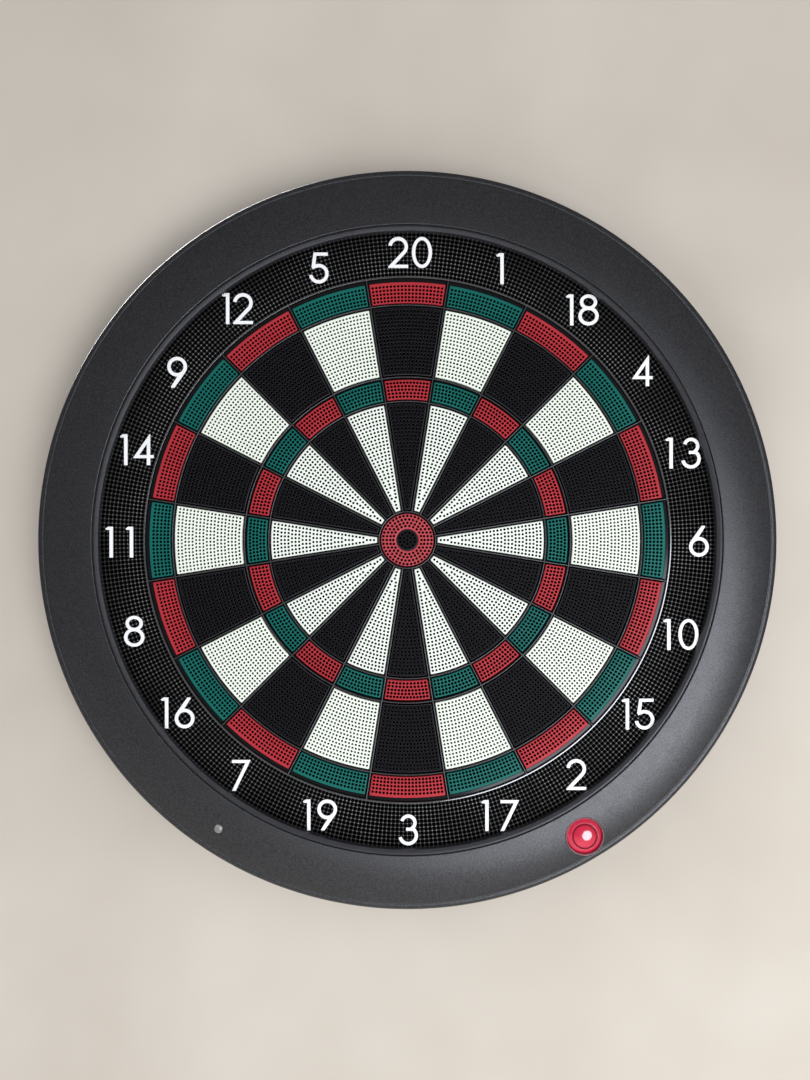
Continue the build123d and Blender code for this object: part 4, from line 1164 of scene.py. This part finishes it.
# ------------------------------------------------------------------ CAD pieces kept as they are
CAD_MATERIALS = {
    "spider": ["spider"],
    "housing": ["front_housing"],
    "cover": ["rear_cover", "battery_door"],
    "chassis": ["backing_plate"],
    "film": ["membrane_films", "membrane_spacer", "membrane_tails"],
    "rubber": ["rubber_mat", "wall_pads"],
    "board": ["main_board", "button_board", "led_board"],
    "connector": ["board_connectors"],
    "chip": ["board_components", "button_switch"],
    "tin": ["radio_module"],
    "brass": ["impact_sensor"],
    "steel": ["board_screws", "button_spring", "battery_contacts", "battery_springs",
              "hanger_screws", "chassis_screws", "cover_screws", "door_screw"],
    "bezel": ["button_bezel"],
    "button": ["button_cap"],
    "lens": ["status_lens"],
    "led": ["status_led"],
    "cell": ["battery_cells"],
    "cable": ["signal_cables", "battery_cable"],
    "powder": ["hanger_plate", "wall_bracket"],
    "numeral": ["numerals"],
}


def dress_cad():
    """Give every CAD piece that is still rendered its material."""
    for material, names in CAD_MATERIALS.items():
        for name in names:
            node = NODES[name]
            if node.hide_render:
                continue
            for slot in node.material_slots:
                slot.material = MATS[material]


# ------------------------------------------------------------------ stage, light and camera
FLOOR_Z = -2.2
FLOOR_HALF = 6
WALL_HALF, WALL_TOP_Z = 4, 3
WALL_Y = 0.004               # just behind the board


def backdrop(name, scale, dark, light, rough):
    look = Look(name)
    look.set("Base Color", look.blend(look.noise(scale=scale, detail=3.0), dark, light))
    look.set("Roughness", rough)
    return look


def stage_plane(name, corners, material):
    mesh = bpy.data.meshes.new(name)
    mesh.from_pydata(corners, [], [(0, 1, 2, 3)])
    plane = bpy.data.objects.new(name, mesh)
    mesh.materials.append(material)
    bpy.context.scene.collection.objects.link(plane)
    return plane


def build_stage():
    look = backdrop("floor_mat", scale=3.0, dark=srgb(190, 185, 178),
                    light=srgb(202, 197, 191), rough=0.8)
    stage_plane("floor", [(x * FLOOR_HALF, y * FLOOR_HALF, FLOOR_Z)
                          for x, y in ((-1, -1), (1, -1), (1, 1), (-1, 1))], look.mat)

    # the wall is clear from behind, and only the camera sees it
    look = backdrop("wall_mat", scale=5.0, dark=srgb(190, 182, 171),
                    light=srgb(202, 195, 185), rough=0.85)
    geometry = look.add("ShaderNodeNewGeometry")
    clear = look.add("ShaderNodeBsdfTransparent")
    sides = look.add("ShaderNodeMixShader")
    look.link(geometry.outputs["Backfacing"], sides.inputs[0])
    look.link(look.bsdf.outputs[0], sides.inputs[1])
    look.link(clear.outputs[0], sides.inputs[2])
    look.link(sides.outputs[0], look.out.inputs[0])
    plane = stage_plane("wall", [(-WALL_HALF, WALL_Y, FLOOR_Z), (WALL_HALF, WALL_Y, FLOOR_Z),
                                 (WALL_HALF, WALL_Y, WALL_TOP_Z),
                                 (-WALL_HALF, WALL_Y, WALL_TOP_Z)], look.mat)
    plane.visible_diffuse = False
    plane.visible_glossy = False
    plane.visible_shadow = False
    plane.visible_transmission = False


def build_world():
    """Even pale surroundings, dimmer in reflections."""
    world = bpy.data.worlds.new("world")
    bpy.context.scene.world = world
    world.use_nodes = True
    tree = world.node_tree
    background = tree.nodes["Background"]
    background.inputs["Color"].default_value = (0.86, 0.87, 0.9, 1)
    path = tree.nodes.new("ShaderNodeLightPath")
    dim = tree.nodes.new("ShaderNodeMapRange")
    dim.inputs["To Min"].default_value = 0.56
    dim.inputs["To Max"].default_value = 0.14
    tree.links.new(path.outputs["Is Glossy Ray"], dim.inputs["Value"])
    tree.links.new(dim.outputs[0], background.inputs["Strength"])


def area(name, at, size, power, look_at=(0, 0, 0), colour=(1, 1, 1)):
    data = bpy.data.lights.new(name, "AREA")
    data.shape = "DISK"
    data.size = size
    data.energy = power
    data.color = colour
    light = bpy.data.objects.new(name, data)
    bpy.context.scene.collection.objects.link(light)
    light.location = at
    aim = Vector(look_at) - Vector(at)
    light.rotation_euler = aim.to_track_quat("-Z", "Y").to_euler()
    return light


KEY_TARGET = (0.05, 0, -0.05)
# name, place, power of the soft lights round the board
SOFT_LIGHTS = [
    ("top", (0.1, -1.0, 1.7), 4.0),
    ("below", (-0.2, -1.0, -1.6), 11.0),
    ("window", (1.6, -1.0, 0.3), 6.0),
    ("left", (-1.7, -0.9, 0.1), 6.0),
]


def build_lights():
    key = area("key", at=(0.80, -1.90, -0.66), look_at=KEY_TARGET, size=1.45, power=25.0,
               colour=(0.87, 0.91, 1.0))
    key.visible_diffuse = False
    fill = area("key_fill", at=(0.60, -1.16, -0.50), look_at=KEY_TARGET, size=0.9, power=11.5,
                colour=(0.98, 0.99, 1.0))
    fill.visible_glossy = False
    for name, at, power in SOFT_LIGHTS:
        soft = area(name, at=at, size=1.2, power=power, colour=(0.98, 0.985, 1.0))
        soft.visible_glossy = False
    area("rear", at=(-1.0, 1.6, 1.2), size=1.4, power=75.0)


def build_camera():
    """Square on to the board, from the front."""
    data = bpy.data.cameras.new("cam")
    data.sensor_fit = "VERTICAL"
    data.sensor_height = 36.0
    data.sensor_width = 27.0
    data.lens = 27.03
    data.clip_start = 0.01
    camera = bpy.data.objects.new("cam", data)
    bpy.context.scene.collection.objects.link(camera)
    camera.location = (-0.0018, -0.651, 0.0)
    camera.rotation_euler = (math.radians(90), 0, 0)
    bpy.context.scene.camera = camera
    bpy.context.scene.view_settings.view_transform = "Standard"


build_segments()
build_bull()
build_catch_ring()
build_spider()
build_surround()
build_button()
build_lens()
build_numerals()
dress_cad()
build_stage()
build_world()
build_lights()
build_camera()
